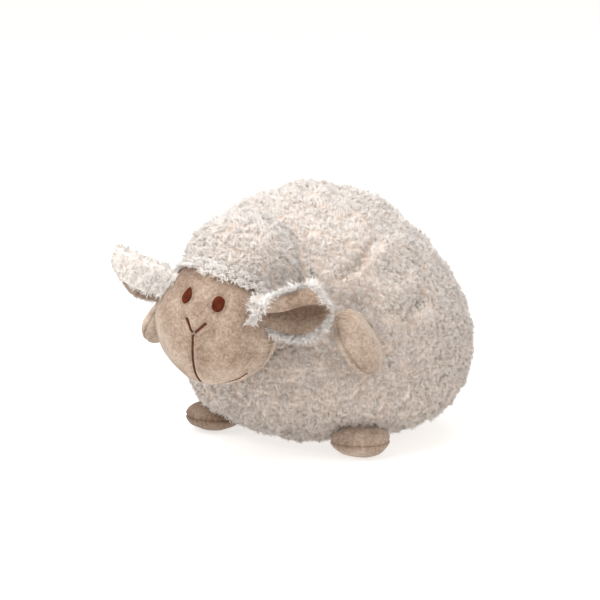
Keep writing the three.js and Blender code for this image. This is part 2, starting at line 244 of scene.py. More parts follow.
def velour(name, colour, deep, light):
    cloth = Finish(name)
    place = cloth.node("ShaderNodeTexCoord")["Object"]
    patches = cloth.mottle(place, 42, 3)
    tufts = cloth.mottle(place, 950, 3)
    grain = cloth.mottle(place, 360, 3)
    tone = patches * 0.7 + grain * 0.6 + tufts * 0.5 - 0.4
    tint = cloth.ramp(tone, (0.3, deep), (0.5, colour), (0.7, light))
    relief = {"Strength": 0.7, "Distance": NAP_HEIGHT, "Height": tufts * 0.7 + grain * 0.5}
    nap = cloth.node("ShaderNodeBump", {}, relief)["Normal"]
    # painted shade, read from the attribute and multiplied into the colour
    painted_shade = cloth.node("ShaderNodeAttribute", {"attribute_name": PAINTED_SHADE_ATTRIBUTE})["Fac"]
    return cloth.surface(
        **{
            "Base Color": cloth.mix(painted_shade, tint, PAINTED_SHADE_TINT, "MULTIPLY"),
            "Roughness": 0.92,
            "Specular IOR Level": 0.15,
            "Sheen Weight": 0.35,
            "Sheen Roughness": 0.45,
            "Sheen Tint": (1.0, 0.93, 0.86, 1),
            "Normal": nap,
        }
    )


beige_velour = velour("beige velour", (0.39, 0.292, 0.224), (0.255, 0.177, 0.127), (0.54, 0.43, 0.345))
pale_velour = velour("pale velour", (0.465, 0.368, 0.292), (0.31, 0.227, 0.172), (0.61, 0.505, 0.415))
print("velours:", beige_velour.name, pale_velour.name)

# %% [markdown]
# The fleece is a pile of crinkled locks. Every strand carries its own strip of a texture map: across the
# map runs the lock's own random number, and up the map runs the way from root to tip. The finish reads
# only that map, so each lock has its own cream, and painted shade darkens it towards the roots, as light
# falls off in deep pile. Higher on the map a lock is paler with painted light, and the lowest part of the map
# is the painted shade of locks that lie deep in a crease.

# %% Fleece
PILE_MAP = "OFBake"
ROOT_UP = 0.12


def fleece():
    cloth = Finish("cream fleece")
    place = cloth.node("ShaderNodeUVMap", {"uv_map": PILE_MAP})["UV"]
    split = cloth.node("ShaderNodeSeparateXYZ", {}, {"Vector": place})
    up = split["Y"]
    lock = cloth.node(
        "ShaderNodeTexNoise",
        {"noise_dimensions": "1D"},
        {"W": split["X"], "Scale": 120.0, "Detail": 1.0},
    )["Fac"]
    along = cloth.ramp(
        up,
        (0.0, (0.40, 0.29, 0.23)),
        (ROOT_UP, (0.76, 0.645, 0.565)),
        (ROOT_UP + 0.25, (0.925, 0.86, 0.805)),
        (0.9, (0.985, 0.975, 0.957)),
    )
    own = cloth.ramp(lock, (0.3, (0.92, 0.89, 0.86)), (0.65, (1.0, 0.995, 0.99)))
    return cloth.surface(
        **{
            "Base Color": cloth.mix(1.0, along, own, "MULTIPLY"),
            "Roughness": 0.8,
            "Specular IOR Level": 0.12,
            "Sheen Weight": 0.25,
            "Sheen Roughness": 0.4,
            "Sheen Tint": (1.0, 0.95, 0.9, 1),
        }
    )


cream_fleece = fleece()
print("fleece:", cream_fleece.name)

# %% [markdown]
# Filling is loose polyester fibre, and the threads are shiny embroidery cotton. The filling is matt white
# with faint clumps. A thread shows its twist as fine stripes of light and dark.

# %% Filling and threads
def fibre_filling():
    fibre = Finish("polyester fibre")
    place = fibre.node("ShaderNodeTexCoord")["Object"]
    clumps = fibre.mottle(place, 160, 4)
    wisps = fibre.mottle(place, 700, 3)
    tint = fibre.ramp(clumps * 0.6 + wisps * 0.4, (0.3, (0.80, 0.79, 0.77)), (0.7, (0.95, 0.95, 0.94)))
    lumps = fibre.node("ShaderNodeBump", {}, {"Strength": 0.8, "Distance": 0.001, "Height": wisps})
    return fibre.surface(**{"Base Color": tint, "Roughness": 0.95, "Normal": lumps["Normal"]})


def embroidery_thread(name, deep, light):
    cotton = Finish(name)
    place = cotton.node("ShaderNodeTexCoord")["Object"]
    strands = cotton.mottle(place, 1500, 2)
    shade = cotton.mottle(place, 250, 2)
    tint = cotton.ramp(strands * 0.5 + shade * 0.5, (0.35, deep), (0.68, light))
    return cotton.surface(**{"Base Color": tint, "Roughness": 0.65, "Specular IOR Level": 0.12})


FINISHES = {
    "fleece": cream_fleece,
    "velour": beige_velour,
    "pale_velour": pale_velour,
    "filling": fibre_filling(),
    "eye_thread": embroidery_thread("red-brown thread", (0.055, 0.009, 0.003), (0.19, 0.036, 0.011)),
    "line_thread": embroidery_thread("dark brown thread", (0.06, 0.016, 0.008), (0.17, 0.055, 0.03)),
}
print("finishes:", [finish.name for finish in FINISHES.values()])

# %% [markdown]
# All shapes are worked out in millimetres, and each piece is brought to metres when it is finished. A piece
# takes the place of its solid, names the finish that it has in the record and rides on its body. Cloth that
# is sewn to another body bends over from there instead, so that nothing tears when the joint moves.


# %% A finished piece
def put(solid, made_of, mesh, body, slot, bend=None):
    """mesh is in millimetres. bend is for cloth that is sewn to another body: that body, and the places
    where the cloth leaves it and where it goes wholly with its own."""
    name = f"{solid}_{made_of}"
    mesh.transform(Matrix.Scale(MM, 4))
    mesh.name = name
    mesh.materials.append(FINISHES[slot])
    mesh.shade_smooth()
    piece = bpy.data.objects.new(name, mesh)
    bpy.context.scene.collection.objects.link(piece)
    if bend:
        sewn_to, start, end = bend
        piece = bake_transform(piece, sewn_to, body, start=start * MM, end=end * MM)
    else:
        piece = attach(piece, body)
    print(name, "faces:", len(mesh.polygons))
    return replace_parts(piece, solid)


# %% [markdown]
# Cloth is worked on as a bmesh. Its points are read into arrays, because a formula then moves all of them at
# once, and written back. The helpers below also part a cover along a seam, carry an open edge on, and give a
# finished sheet its thickness.


# %% Points and triangles
def mesh_of(shape):
    """The shape as a mesh. The shape itself is given up."""
    mesh = bpy.data.meshes.new("shape")
    shape.to_mesh(mesh)
    shape.free()
    return mesh


def points_of(verts):
    return np.array([v.co for v in verts], float).reshape(-1, 3)


def normals_of(verts):
    return np.array([v.normal for v in verts])


def triangles_of(mesh):
    mesh.calc_loop_triangles()
    corners = np.zeros(len(mesh.loop_triangles) * 3, np.int32)
    mesh.loop_triangles.foreach_get("vertices", corners)
    return corners.reshape(-1, 3)


def place_points(verts, points):
    for vert, point in zip(verts, points):
        vert.co = point


# %% Parting, lengthening and thickening
def part_of(shape, keep):
    """A copy of the shape with the faces whose middles are kept."""
    piece = shape.copy()
    kept = keep(np.array([f.calc_center_median() for f in piece.faces]))
    lost = [face for face, stays in zip(piece.faces, kept) if not stays]
    bmesh.ops.delete(piece, geom=lost, context="FACES")
    return piece


def cut(shape, place, across, snap):
    """Divides the faces along a plane, so that the seam there runs straight."""
    geom = shape.verts[:] + shape.edges[:] + shape.faces[:]
    bmesh.ops.bisect_plane(shape, geom=geom, dist=snap, plane_co=place, plane_no=across)


def ahead_of(points, place, way):
    """How far the points lie past a place, along a way."""
    return (points - np.array(place)) @ np.array(way)


def carry_on(shape, edges):
    """Extrudes an open edge, and returns the new points and the edges between them."""
    grown = bmesh.ops.extrude_edge_only(shape, edges=edges)["geom"]
    verts = {g for g in grown if isinstance(g, bmesh.types.BMVert)}
    return verts, [g for g in grown if isinstance(g, bmesh.types.BMEdge) and set(g.verts) <= verts]


def edges_of(ring):
    return list({edge for vert in ring for edge in vert.link_edges})


def lengthen(shape, ring, edges):
    """Carries a thread on by one ring, whose points come in the same order as before."""
    verts, edges = carry_on(shape, edges)
    ring = [next(e.other_vert(v) for e in v.link_edges if e.other_vert(v) in verts) for v in ring]
    return ring, edges


def thicken(shape, thickness):
    """Gives the cloth its thickness, inwards from the side that its faces look to."""
    shape.normal_update()
    grown = bmesh.ops.extrude_face_region(shape, geom=shape.faces[:], use_keep_orig=True)["geom"]
    inner = [g for g in grown if isinstance(g, bmesh.types.BMVert)]
    for vert in inner:
        vert.co = vert.co - vert.normal * thickness
    bmesh.ops.recalc_face_normals(shape, faces=shape.faces)
    return shape


# %% [markdown]
# A stuffed ball is never quite even, so the forms are pushed in and out by slow waves. The waves are sums
# of a few sines with fixed directions, which makes them smooth, quick and the same in every run. A bell is
# the round hill or hollow beside a seam, a stitch or a crease.

# %% Waves and bells
WAVES_IN_FIELD = 7


def waves(points, length, seed):
    """A smooth field between about -1 and 1 whose hills are about a length apart."""
    chance = np.random.default_rng(seed)
    directions = chance.normal(size=(WAVES_IN_FIELD, 3))
    directions /= np.linalg.norm(directions, axis=1, keepdims=True)
    turns = 2 * math.pi / (length * chance.uniform(0.75, 1.4, WAVES_IN_FIELD))
    phases = chance.uniform(0, 2 * math.pi, WAVES_IN_FIELD)
    angles = points @ (directions * turns[:, None]).T + phases
    return np.sin(angles).sum(axis=1) / math.sqrt(WAVES_IN_FIELD)


def bumps(points, *layers):
    """The sum of a few fields, each given by its height, the length of its waves and its seed."""
    return sum(height * waves(points, length, seed) for height, length, seed in layers)


def swirl(points, length, seed):
    """Ways that turn slowly from point to point."""
    return np.column_stack([waves(points, length, seed + k) for k in range(3)])


def smoothstep(value, low, high):
    share = np.clip((value - low) / (high - low), 0, 1)
    return share * share * (3 - 2 * share)


def bell(distance, width):
    return np.exp(-((distance / width) ** 2))


# %% [markdown]
# The body is a squat ball that leans forward at the top, like a full bag that has settled. The same rule
# that shaped the solid gives the cloth, so that it stays in the place of its panels.

# %% The body's form
BODY_RADIUS, BODY_RISE, BODY_DROP, BODY_LEAN = 128, 147, 79, 24
BODY_WAIST = 78.5
TOP_POWER, FOOT_POWER = 2.05, 2.4


def lean_at(rise):
    return np.where(rise > 0, BODY_LEAN * (1 - np.cos(math.pi * rise)) / 2, 0)


def body_points(directions, grow):
    across = np.hypot(directions[:, 0], directions[:, 1])
    up = directions[:, 2]
    power = np.where(up > 0, TOP_POWER, FOOT_POWER)
    fit = (across**power + np.abs(up) ** power) ** (-1 / power)
    rise = up * fit
    height = np.where(rise > 0, BODY_RISE, BODY_DROP) + grow
    radius = (BODY_RADIUS + grow) * fit
    return np.stack(
        [
            radius * directions[:, 0],
            radius * directions[:, 1] - lean_at(rise),
            BODY_WAIST + height * rise,
        ],
        axis=1,
    )


def body_skin(height, bearing):
    """Where the skin is at a height, along a bearing that turns from the toy's left to its front."""
    reach = BODY_RISE if height > BODY_WAIST else BODY_DROP
    rise = (height - BODY_WAIST) / reach
    power = TOP_POWER if rise > 0 else FOOT_POWER
    radius = BODY_RADIUS * (1 - abs(rise) ** power) ** (1 / power)
    return Vector(
        (radius * math.cos(bearing), -radius * math.sin(bearing) - float(lean_at(rise)), height)
    )


def off_body(points):
    """Roughly how far outside the body a point is."""
    reach = np.where(points[:, 2] > BODY_WAIST, BODY_RISE, BODY_DROP)
    rise = np.clip((points[:, 2] - BODY_WAIST) / reach, -1, 1)
    power = np.where(rise > 0, TOP_POWER, FOOT_POWER)
    radius = BODY_RADIUS * (1 - np.abs(rise) ** power) ** (1 / power)
    return np.hypot(points[:, 0], points[:, 1] + lean_at(rise)) - radius


print("body, mm: width", 2 * BODY_RADIUS, "top at", BODY_WAIST + BODY_RISE)

# %% [markdown]
# The head has a frame of its own, turned and tilted on the neck, and so do its ears. Every form of the head
# can say how far outside it a point is. The pile uses that to stay off the velour.

# %% The head's forms
NECK = Vector((-2, -134, 152))
NECK_RADIUS, NECK_CLEARANCE = 67, 1.4
HEAD_TURN, HEAD_TILT = math.radians(11), math.radians(10)
HEAD = Matrix.Translation(NECK) @ Matrix.Rotation(HEAD_TURN, 4, "Z") @ Matrix.Rotation(HEAD_TILT, 4, "Y")
TO_HEAD = HEAD.inverted()
CAP_MIDDLE, CAP_RADIUS = np.array((0, 9, 14)), 49
FACE_MIDDLE, FACE_HALF = np.array((0, -25, -26)), np.array((55, 45, 54))
SEAM_POINT, SEAM_LEAN = Vector((0, -27, -26)), math.radians(12)
SEAM_FORWARD = Vector((0, -math.cos(SEAM_LEAN), -math.sin(SEAM_LEAN)))


def moved(points, matrix):
    turn = np.array(matrix.to_3x3())
    return points @ turn.T + np.array(matrix.translation)


def in_head(points):
    """The points as the head's frame has them."""
    return moved(points, TO_HEAD)


def off_ellipsoid(points, middle, half):
    """How far outside the form each point is, and the way out."""
    arm = points - middle
    reach = np.linalg.norm(arm, axis=1)
    share = np.maximum(np.linalg.norm(arm / half, axis=1), 1e-6)
    return reach - reach / share, arm / np.maximum(reach, 1e-6)[:, None]


def off_face(points):
    return off_ellipsoid(points, FACE_MIDDLE, FACE_HALF)


def off_cap(points):
    return off_ellipsoid(points, CAP_MIDDLE, CAP_RADIUS)


print("middle of the face, mm:", [round(c) for c in HEAD @ Vector(FACE_MIDDLE)])

# %% [markdown]
# The paws are stuffed pillows, sewn on along one narrow end. Each has a frame of its own: X points out from
# the body, Y lies along the sewn end and Z is the thickness. Arms and feet differ in size, in cloth, in how
# much they pucker, and in how far in the body's pile stops growing behind them.

# %% The paws' forms
PAW_POWER, PAW_ROOT_SHARE, HINGE_STAND_OFF = 2.3, 0.6, 0.6
ARM = {
    "half": np.array((30, 29.5, 13.5)),
    "inset": 4,
    "hides_from": -1.5,
    "panels": ("outer_panel", "palm_panel"),
    "slot": "pale_velour",
    "wrinkle": 0.42,
}
FOOT = {
    "half": np.array((27, 26, 14)),
    "inset": 12,
    "hides_from": -4.5,
    "panels": ("upper_panel", "sole_panel"),
    "slot": "velour",
    "wrinkle": 0.3,
}


def mirrored(side):
    """Turns a frame of the toy's left side, 1, into the same frame of its right side, -1."""
    return Matrix.Scale(side, 4, (1, 0, 0))


def level_way(bearing):
    return Vector((math.cos(math.radians(bearing)), -math.sin(math.radians(bearing)), 0))


def paw_place(height, bearing, pointing, tilt, side):
    """The frame of a paw that is sewn on at a height and a bearing, and that points another way."""
    origin = body_skin(height, math.radians(bearing)) + level_way(bearing) * HINGE_STAND_OFF
    x = level_way(pointing)
    y = Matrix.Rotation(math.radians(tilt), 3, x) @ Vector((-x.y, x.x, 0))
    turn = Matrix((x, y, x.cross(y))).transposed().to_4x4()
    return mirrored(side) @ Matrix.Translation(origin) @ turn


PAWS = {
    "arm_left": (ARM, paw_place(112, 36.5, 78, 31.5 - 90, 1)),
    "arm_right": (ARM, paw_place(110, 36.5, 94, 31.5 - 90, -1)),
    "foot_left": (FOOT, paw_place(14, 34.5, 58, 0, 1)),
    "foot_right": (FOOT, paw_place(14, 34.5, 58, 0, -1)),
}


def paw_taper(x):
    return 1 + (PAW_ROOT_SHARE - 1) * np.clip(-x, 0, 1)


def off_paw(points, paw):
    arm = points - np.array((paw["half"][0] - paw["inset"], 0, 0))
    share = arm / paw["half"]
    flat = (np.abs(share[:, 0]) ** PAW_POWER + np.abs(share[:, 1]) ** PAW_POWER) ** (1 / PAW_POWER)
    swell = np.maximum(np.hypot(flat, share[:, 2] / paw_taper(share[:, 0])), 1e-6)
    reach = np.linalg.norm(arm, axis=1)
    return reach - reach / swell, arm / np.maximum(reach, 1e-6)[:, None]


for name, (_, place) in PAWS.items():
    print(name, "hinge, mm:", [round(c, 1) for c in place.translation])

# %% [markdown]
# The pile. One lock is a few fine strands that start side by side, rise and curl over. Each strand is a thin
# three-sided thread, so that it shows a lit side from everywhere: a ring of three points that is extruded
# along the strand and closes to a point at the tip. A dozen different locks are enough, because every copy
# gets its own turn, size and lie.

# %% One lock
LOCK_KINDS, STRANDS, SIDES = 12, 8, 3
LOCK_LENGTH, LOCK_SPREAD = 6.6, 1.6
STRAND_WIDTHS = (0.34, 0.46, 0)
STRAND_PARTS = len(STRAND_WIDTHS) - 1
STRAND_LENGTHS, STRAND_SWING = (0.75, 1.15), 0.8
ROOT_BENDS, TIP_BENDS, BENDS_DIFFER = (5, 28), (50, 100), (0.15, 0.3)
LOWEST_TIP = 0.4


def grow_strand(shape, chance, bend):
    """One thread from its root to its tip, in a lock that leans towards +Y."""
    side, along = (shape.verts.layers.float[n] for n in ("side", "along"))
    ring = bmesh.ops.create_circle(shape, segments=SIDES, radius=1)["verts"]
    edges = edges_of(ring)
    swing = Matrix.Rotation(chance.normal(0, STRAND_SWING), 3, "Z")
    angle, radius = chance.uniform(0, 2 * math.pi), LOCK_SPREAD * math.sqrt(chance.random())
    centre = Vector((radius * math.cos(angle), radius * math.sin(angle), 0))
    part_length = LOCK_LENGTH * chance.uniform(*STRAND_LENGTHS) / STRAND_PARTS
    leans = np.array(bend) + chance.normal(0, BENDS_DIFFER)
    first = chance.uniform(0, 2 * math.pi)
    for part, width in enumerate(STRAND_WIDTHS):
        if part:
            ring, edges = lengthen(shape, ring, edges)
            lean = leans[part - 1]
            way = Vector((chance.uniform(-0.3, 0.3), math.sin(lean), math.cos(lean)))
            centre = centre + way.normalized() * part_length
            centre.z = max(centre.z, LOWEST_TIP)
        tilt = Matrix.Rotation(-leans.mean() if part else -leans[0], 3, "X")
        for number, vert in enumerate(ring):
            turn = first + 2 * math.pi * number / SIDES
            vert.co = swing @ (centre + tilt @ Vector((math.cos(turn), math.sin(turn), 0)) * (width / 2))
            vert[side], vert[along] = number / (SIDES - 1), part / STRAND_PARTS
    bmesh.ops.pointmerge(shape, verts=ring, merge_co=swing @ centre)


def make_lock(seed):
    """The points of one lock and their normals, its triangles, and each point's side and way along."""
    chance = np.random.default_rng(seed)
    shape = bmesh.new()
    for layer in ("side", "along"):
        shape.verts.layers.float.new(layer)
    bend = np.radians((chance.uniform(*ROOT_BENDS), chance.uniform(*TIP_BENDS)))
    for _ in range(STRANDS):
        grow_strand(shape, chance, bend)
    bmesh.ops.recalc_face_normals(shape, faces=shape.faces)
    bmesh.ops.triangulate(shape, faces=shape.faces)
    shape.verts.index_update()
    shape.normal_update()
    points, normals = points_of(shape.verts), normals_of(shape.verts)
    faces = np.array([[v.index for v in f.verts] for f in shape.faces])
    side, along = (shape.verts.layers.float[n] for n in ("side", "along"))
    marks = np.array([(v[side], v[along]) for v in shape.verts])
    shape.free()
    return points, normals, faces, marks


LOCKS = [make_lock(seed) for seed in range(LOCK_KINDS)]
print("triangles in a lock:", len(LOCKS[0][2]))

# %% [markdown]
# Locks grow all over a cover, evenly but not in rows. Darts are thrown at the cloth, and one is kept only if
# no kept dart is closer than the spacing. A larger THIN_OUT gives fewer, thicker locks, for a quicker scene.

# %% Places for locks
THIN_OUT = 1.0
SPACING = 2.5 * THIN_OUT
DARTS_PER_PLACE = 5
SORTED_ALONG = np.array((1.0, 0.618, 0.271))


def tree_of(points):
    tree = KDTree(len(points))
    for number, point in enumerate(points):
        tree.insert(point, number)
    tree.balance()
    return tree


def well_apart(points, spacing):
    """Which points to keep, so that no two of them are closer than the spacing."""
    tree = tree_of(points)
    kept = np.ones(len(points), bool)
    for number, point in enumerate(points):
        if kept[number]:
            for _, other, _ in tree.find_range(point, spacing):
                if other > number:
                    kept[other] = False
    return kept


def darts(cloth, spacing, seed):
    """Points on the cloth's faces about a spacing apart, with its normals there. An extrusion adds its
    faces in no fixed order, so they are sorted first, and every run grows the same pile."""
    chance = np.random.default_rng(seed)
    mesh = mesh_of(cloth.copy())
    points, normals, corners = points_of(mesh.vertices), normals_of(mesh.vertices), triangles_of(mesh)
    bpy.data.meshes.remove(mesh)
    corners = corners[np.argsort(points[corners].sum(axis=1) @ SORTED_ALONG, kind="stable")]
    a, b, c = (points[corners[:, k]] for k in range(3))
    areas = np.linalg.norm(np.cross(b - a, c - a), axis=1) / 2
    count = int(areas.sum() / spacing**2 * DARTS_PER_PLACE)
    hit = corners[chance.choice(len(areas), count, p=areas / areas.sum())]
    share = chance.random((count, 2))
    share = np.where(share.sum(axis=1, keepdims=True) > 1, 1 - share, share)
    weights = np.column_stack([1 - share.sum(axis=1), share])[:, :, None]
    at = (points[hit] * weights).sum(axis=1)
    way = (normals[hit] * weights).sum(axis=1)
    way /= np.linalg.norm(way, axis=1, keepdims=True)
    kept = well_apart(at, spacing)
    return at[kept], way[kept]


def rooted(cloth, seed, inside, shown):
    """Where locks grow on the parts of a cover that are shown, and the ways out of it, away from a point
    inside."""
    roots, normals = darts(cloth, SPACING, seed)
    if ((roots - np.array(inside)) * normals).sum() < 0:
        normals = -normals
    chosen = shown(roots)
    return roots[chosen], normals[chosen]


# %% [markdown]
# Each lock is laid along the cloth in the direction that the cover is combed. Locks stand together in tufts
# and lean to the middle of theirs, and those at a tuft's edge are shorter and darker with painted shade.
# Higher locks are paler with painted light. The strands of a lock share a random number, their place across
# the texture map. The light sees a pile as a soft whole more than as single fibres, so each point's normal is
# mostly the cloth's own.

# %% Laying the pile
STRIP_WIDTH = 0.004
TUFT_WIDTH, TUFT_PULL, TUFT_HEIGHT, TUFT_POWER = 5.2, 0.6, 4.5, 1.5
LOCK_SWING = 0.9
SMALLEST_LOCK, LARGEST_LOCK = (0.85, 0.8, 0.8), (1.15, 1.15, 1.25)
MIDDLE_LENGTH, EDGE_SHORTER = 1.15, 0.4
TIP_UP, PAINTED_LIGHT_RISE, TUFT_EDGE_SHADE, UP_WAVES = 0.53, 420, 0.35, (0.06, 34, 8)
OWN_NORMAL, ROUND_NORMAL = 0.3, 0.13


def unit(ways):
    return ways / np.maximum(np.linalg.norm(ways, axis=-1, keepdims=True), 1e-6)


def to_tuft(roots):
    """The way from each root to the middle of its tuft. Tufts are a width apart or more."""
    tufts = tree_of(roots[well_apart(roots, TUFT_WIDTH)])
    return np.array([tufts.find(root)[0] for root in roots]) - roots


def lay_pile(roots, normals, combed, seed, length, clear_of, painted_light=0.0, shade=0.0):
    """The points, normals, faces and map places of a lock at every root. Painted light makes a lock pale down
    to its root, and painted shade makes one warm and dark up to its tip."""
    chance = np.random.default_rng(seed)
    count = len(roots)
    painted_light, shade = (np.broadcast_to(share, count) for share in (painted_light, shade))
    normals = unit(normals)
    combed = unit(combed - normals * (combed * normals).sum(axis=1, keepdims=True))
    beside = np.cross(combed, normals)
    swing = chance.normal(0, LOCK_SWING, count)[:, None]
    along = combed * np.cos(swing) + beside * np.sin(swing)
    across = beside * np.cos(swing) - combed * np.sin(swing)
    frames = np.stack([across, along, normals], axis=1)
    kinds = chance.integers(len(LOCKS), size=count)
    sizes = chance.uniform(SMALLEST_LOCK, LARGEST_LOCK, (count, 3))
    pull = to_tuft(roots)
    edge = np.clip(np.linalg.norm(pull, axis=1) / TUFT_WIDTH, 0, 1)
    sizes *= (length * THIN_OUT**0.25 * (MIDDLE_LENGTH - EDGE_SHORTER * edge))[:, None]
    own = chance.uniform(0, 1 - (STRANDS + 1) * STRIP_WIDTH, count)
    # painted light: higher locks are paler; painted shade: locks at a tuft's edge are darker
    pale_tip = TIP_UP + painted_light + roots[:, 2] / PAINTED_LIGHT_RISE - TUFT_EDGE_SHADE * edge + bumps(roots, UP_WAVES)
    pale_tip = np.clip(pale_tip, 0.3, 1)
    pale_root = ROOT_UP + painted_light
    laid_kinds, start = [], 0
    for kind, (lock, lock_ways, triangles, marks) in enumerate(LOCKS):
        chosen = np.flatnonzero(kinds == kind)
        laid = np.einsum("nvi,nij->nvj", lock[None] * sizes[chosen, None, :], frames[chosen])
        height = (laid * normals[chosen, None]).sum(axis=2)
        risen = np.clip(height / TUFT_HEIGHT, 0, 1) ** TUFT_POWER
        laid = laid + TUFT_PULL * risen[:, :, None] * pull[chosen, None]
        turned = np.einsum("vi,nij->nvj", lock_ways, frames[chosen])
        rounded = ROUND_NORMAL * (laid - pull[chosen, None])
        ways = normals[chosen, None] + OWN_NORMAL * turned + rounded
        faces = triangles[None] + (start + len(lock) * np.arange(len(chosen)))[:, None, None]
        strand = np.repeat(np.arange(STRANDS), len(lock) // STRANDS)
        u = own[chosen, None] + (marks[:, 0] + strand)[None] * STRIP_WIDTH
        tip, root = pale_tip[chosen, None], pale_root[chosen, None]
        up = (root + marks[None, :, 1] * (tip - root)) * (1 - shade[chosen, None])
        places = np.stack([u, up], axis=2).reshape(-1, 2)
        points = (laid + roots[chosen, None, :]).reshape(-1, 3)
        laid_kinds.append((points, ways.reshape(-1, 3), faces.reshape(-1, 3), places))
        start += len(points)
    points, ways, faces, places = (np.concatenate(part) for part in zip(*laid_kinds))
    for push in clear_of:
        points = push(points)
    return points, unit(ways), faces, places


def joined(piles):
    """Several piles as one."""
    shifts = np.cumsum([0] + [len(pile[0]) for pile in piles])
    parts = [list(part) for part in zip(*piles)]
    parts[2] = [faces + shift for faces, shift in zip(parts[2], shifts)]
    return [np.concatenate(part) for part in parts]


# %% [markdown]
# Strands that would run into a face, a paw or the floor are pushed back out to its skin, as real pile gives
# way.

# %% Keeping the pile clear
DEEPEST_PUSH = 9.0
FLOOR_GAP, FLOOR_RIPPLE, RIPPLE_TURN = 0.25, 0.05, 9


def push_off(off, place, margin):
    """A rule that moves points out of a form whose frame is place."""

    def push(points):
        local = moved(points, place.inverted())
        depth, way = off(local)
        step = np.where((depth < margin) & (depth > -DEEPEST_PUSH), margin - depth, 0)
        return moved(local + way * step[:, None], place)

    return push


def push_off_floor(points):
    lifted = points.copy()
    ripple = FLOOR_RIPPLE * np.abs(np.sin(points[:, 0] * RIPPLE_TURN))
    lifted[:, 2] = np.maximum(points[:, 2], FLOOR_GAP + ripple)
    return lifted


PAW_PUSHES = [
    push_off(lambda points, paw=paw: off_paw(points, paw), place, 0.5) for paw, place in PAWS.values()
]
FACE_PUSH = push_off(off_face, HEAD, 0.6)
print("forms that the pile keeps clear of:", len(PAW_PUSHES) + 2)

# %% [markdown]
# A fleece cover is one piece: the knitted backing, which has a thickness, and the pile that stands on it.
# The backing has its place on the same texture map, near the roots' colour.

# %% A fleece piece
BACKING_THICKNESS = 1.2


def fleece_piece(solid, body, skin, piles, bend=None, painted_light=0.0, shade_of=None):
    """Joins the backing and its piles into one mesh, and puts it in the place of its solid."""
    backing = mesh_of(thicken(skin, BACKING_THICKNESS))
    cloth, cloth_ways = points_of(backing.vertices), normals_of(backing.vertices)
    corners = triangles_of(backing)
    bpy.data.meshes.remove(backing)
    points, ways, triangles, places = joined(piles)
    loops = np.concatenate([corners, triangles + len(cloth)]).astype(np.int32).ravel()
    mesh = bpy.data.meshes.new(solid)
    mesh.vertices.add(len(cloth) + len(points))
    mesh.vertices.foreach_set("co", np.concatenate([cloth, points]).astype(np.float32).ravel())
    mesh.loops.add(len(loops))
    mesh.loops.foreach_set("vertex_index", loops)
    mesh.polygons.add(len(loops) // 3)
    mesh.polygons.foreach_set("loop_start", np.arange(0, len(loops), 3, dtype=np.int32))
    mesh.update(calc_edges=True)
    across = 0.5 + 0.45 * np.sin(cloth[:, 0] / 9)
    # Painted light makes the backing paler, and the creases' painted shade darkens it.
    up = ROOT_UP + 0.06 + 0.05 * np.sin((cloth[:, 1] + cloth[:, 2]) / 7) + painted_light
    if shade_of:
        up *= 1 - shade_of(cloth)
    on_map = np.concatenate([np.column_stack([across, up]), places])
    mesh.uv_layers.new(name=PILE_MAP).uv.foreach_set("vector", on_map[loops].astype(np.float32).ravel())
    piece = put(solid, "fleece", mesh, body, "fleece", bend)
    piece.data.normals_split_custom_set_from_vertices(np.concatenate([cloth_ways, ways]))
    print(piece.name, "locks:", len(points) // len(LOCKS[0][0]))


# %% [markdown]
# The body's cover has a few creases, where the cloth gives behind the head and above the arm. A crease is a
# line on the skin with a depth and a width, and painted shade darkens the pile along it. In two of them the
# pile parts along the line. The first one's painted shade is dark and thin at its top, and grows wider and
# softer downwards.

# %% Creases
CREASES = (
    {
        "line": ((82.6, -40.8, 190), (83.1, -56.7, 183.6), (84.5, -69.2, 173.4), (78.8, -85, 163.9)),
        "depth": 6.5,
        "width": 3.8,
        "parting": 1.6,
        "shade": 1.0,
        "shade_width": 3.6,
        "paler_below": 0.3,
        "wider_below": 2.4,
    },
    {
        "line": ((106.3, -8.8, 162.2), (114.1, -17.2, 146.6), (117, -29.2, 134.8), (115.8, -44.4, 123.9)),
        "depth": 4.2,
        "width": 7,
        "parting": 0,
        "shade": 0.35,
        "shade_width": 6.0,
        "paler_below": 0,
        "wider_below": 0,
    },
    {
        "line": ((84.4, -91.2, 136.5), (91.5, -83.5, 136)),
        "depth": 6.0,
        "width": 6,
        "parting": 1,
        "shade": 1.0,
        "shade_width": 4.5,
        "paler_below": 0,
        "wider_below": 0,
    },
)
PARTED = [crease for crease in CREASES if crease["parting"]]
CREASE_WAVER = 1.5
FAR_AWAY = 1e9


def from_line(points, line):
    """The way to each point from the nearest place on a line of straight pieces."""
    best = np.full((len(points), 3), FAR_AWAY)
    for a, b in zip(np.array(line[:-1], float), np.array(line[1:], float)):
        share = np.clip((points - a) @ (b - a) / ((b - a) @ (b - a)), 0, 1)
        way = points - a - share[:, None] * (b - a)
        nearer = np.linalg.norm(way, axis=1) < np.linalg.norm(best, axis=1)
        best[nearer] = way[nearer]
    return best


def distance_to(points, line):
    return np.linalg.norm(from_line(points, line), axis=1)


def off_crease(points, crease):
    """The way to each point from a crease, which wavers along its line, and how far it is."""
    way = from_line(points + CREASE_WAVER * swirl(points, 16, 6), crease["line"])
    return way, np.linalg.norm(way, axis=1)


print("creases:", len(CREASES), "in which the pile parts:", len(PARTED))

# %% [markdown]
# The cover starts as an even ball of small faces that is pushed into the body's form, a little inside it,
# because the pile adds the rest. Slow waves keep it from looking turned on a lathe. Under the head there is
# a round dish, in which the head's back turns. A plane parts the left panel from the right one.

# %% The body's skin
PILE_DEPTH, LOWEST_CLOTH = 2.6, 0.8
BODY_BUMPS = ((1.5, 75, 3), (1.4, 26, 4), (1.1, 13, 5))
LIP_SHARE = 0.2
BASE_PANEL_RADIUS, BASE_PANEL_TOP = 62, 30
DISH_RADIUS, CUP_MERGE = NECK_RADIUS + NECK_CLEARANCE, 0.2
INTO_BODY = Vector((0.0, 1.0, -0.12)).normalized()


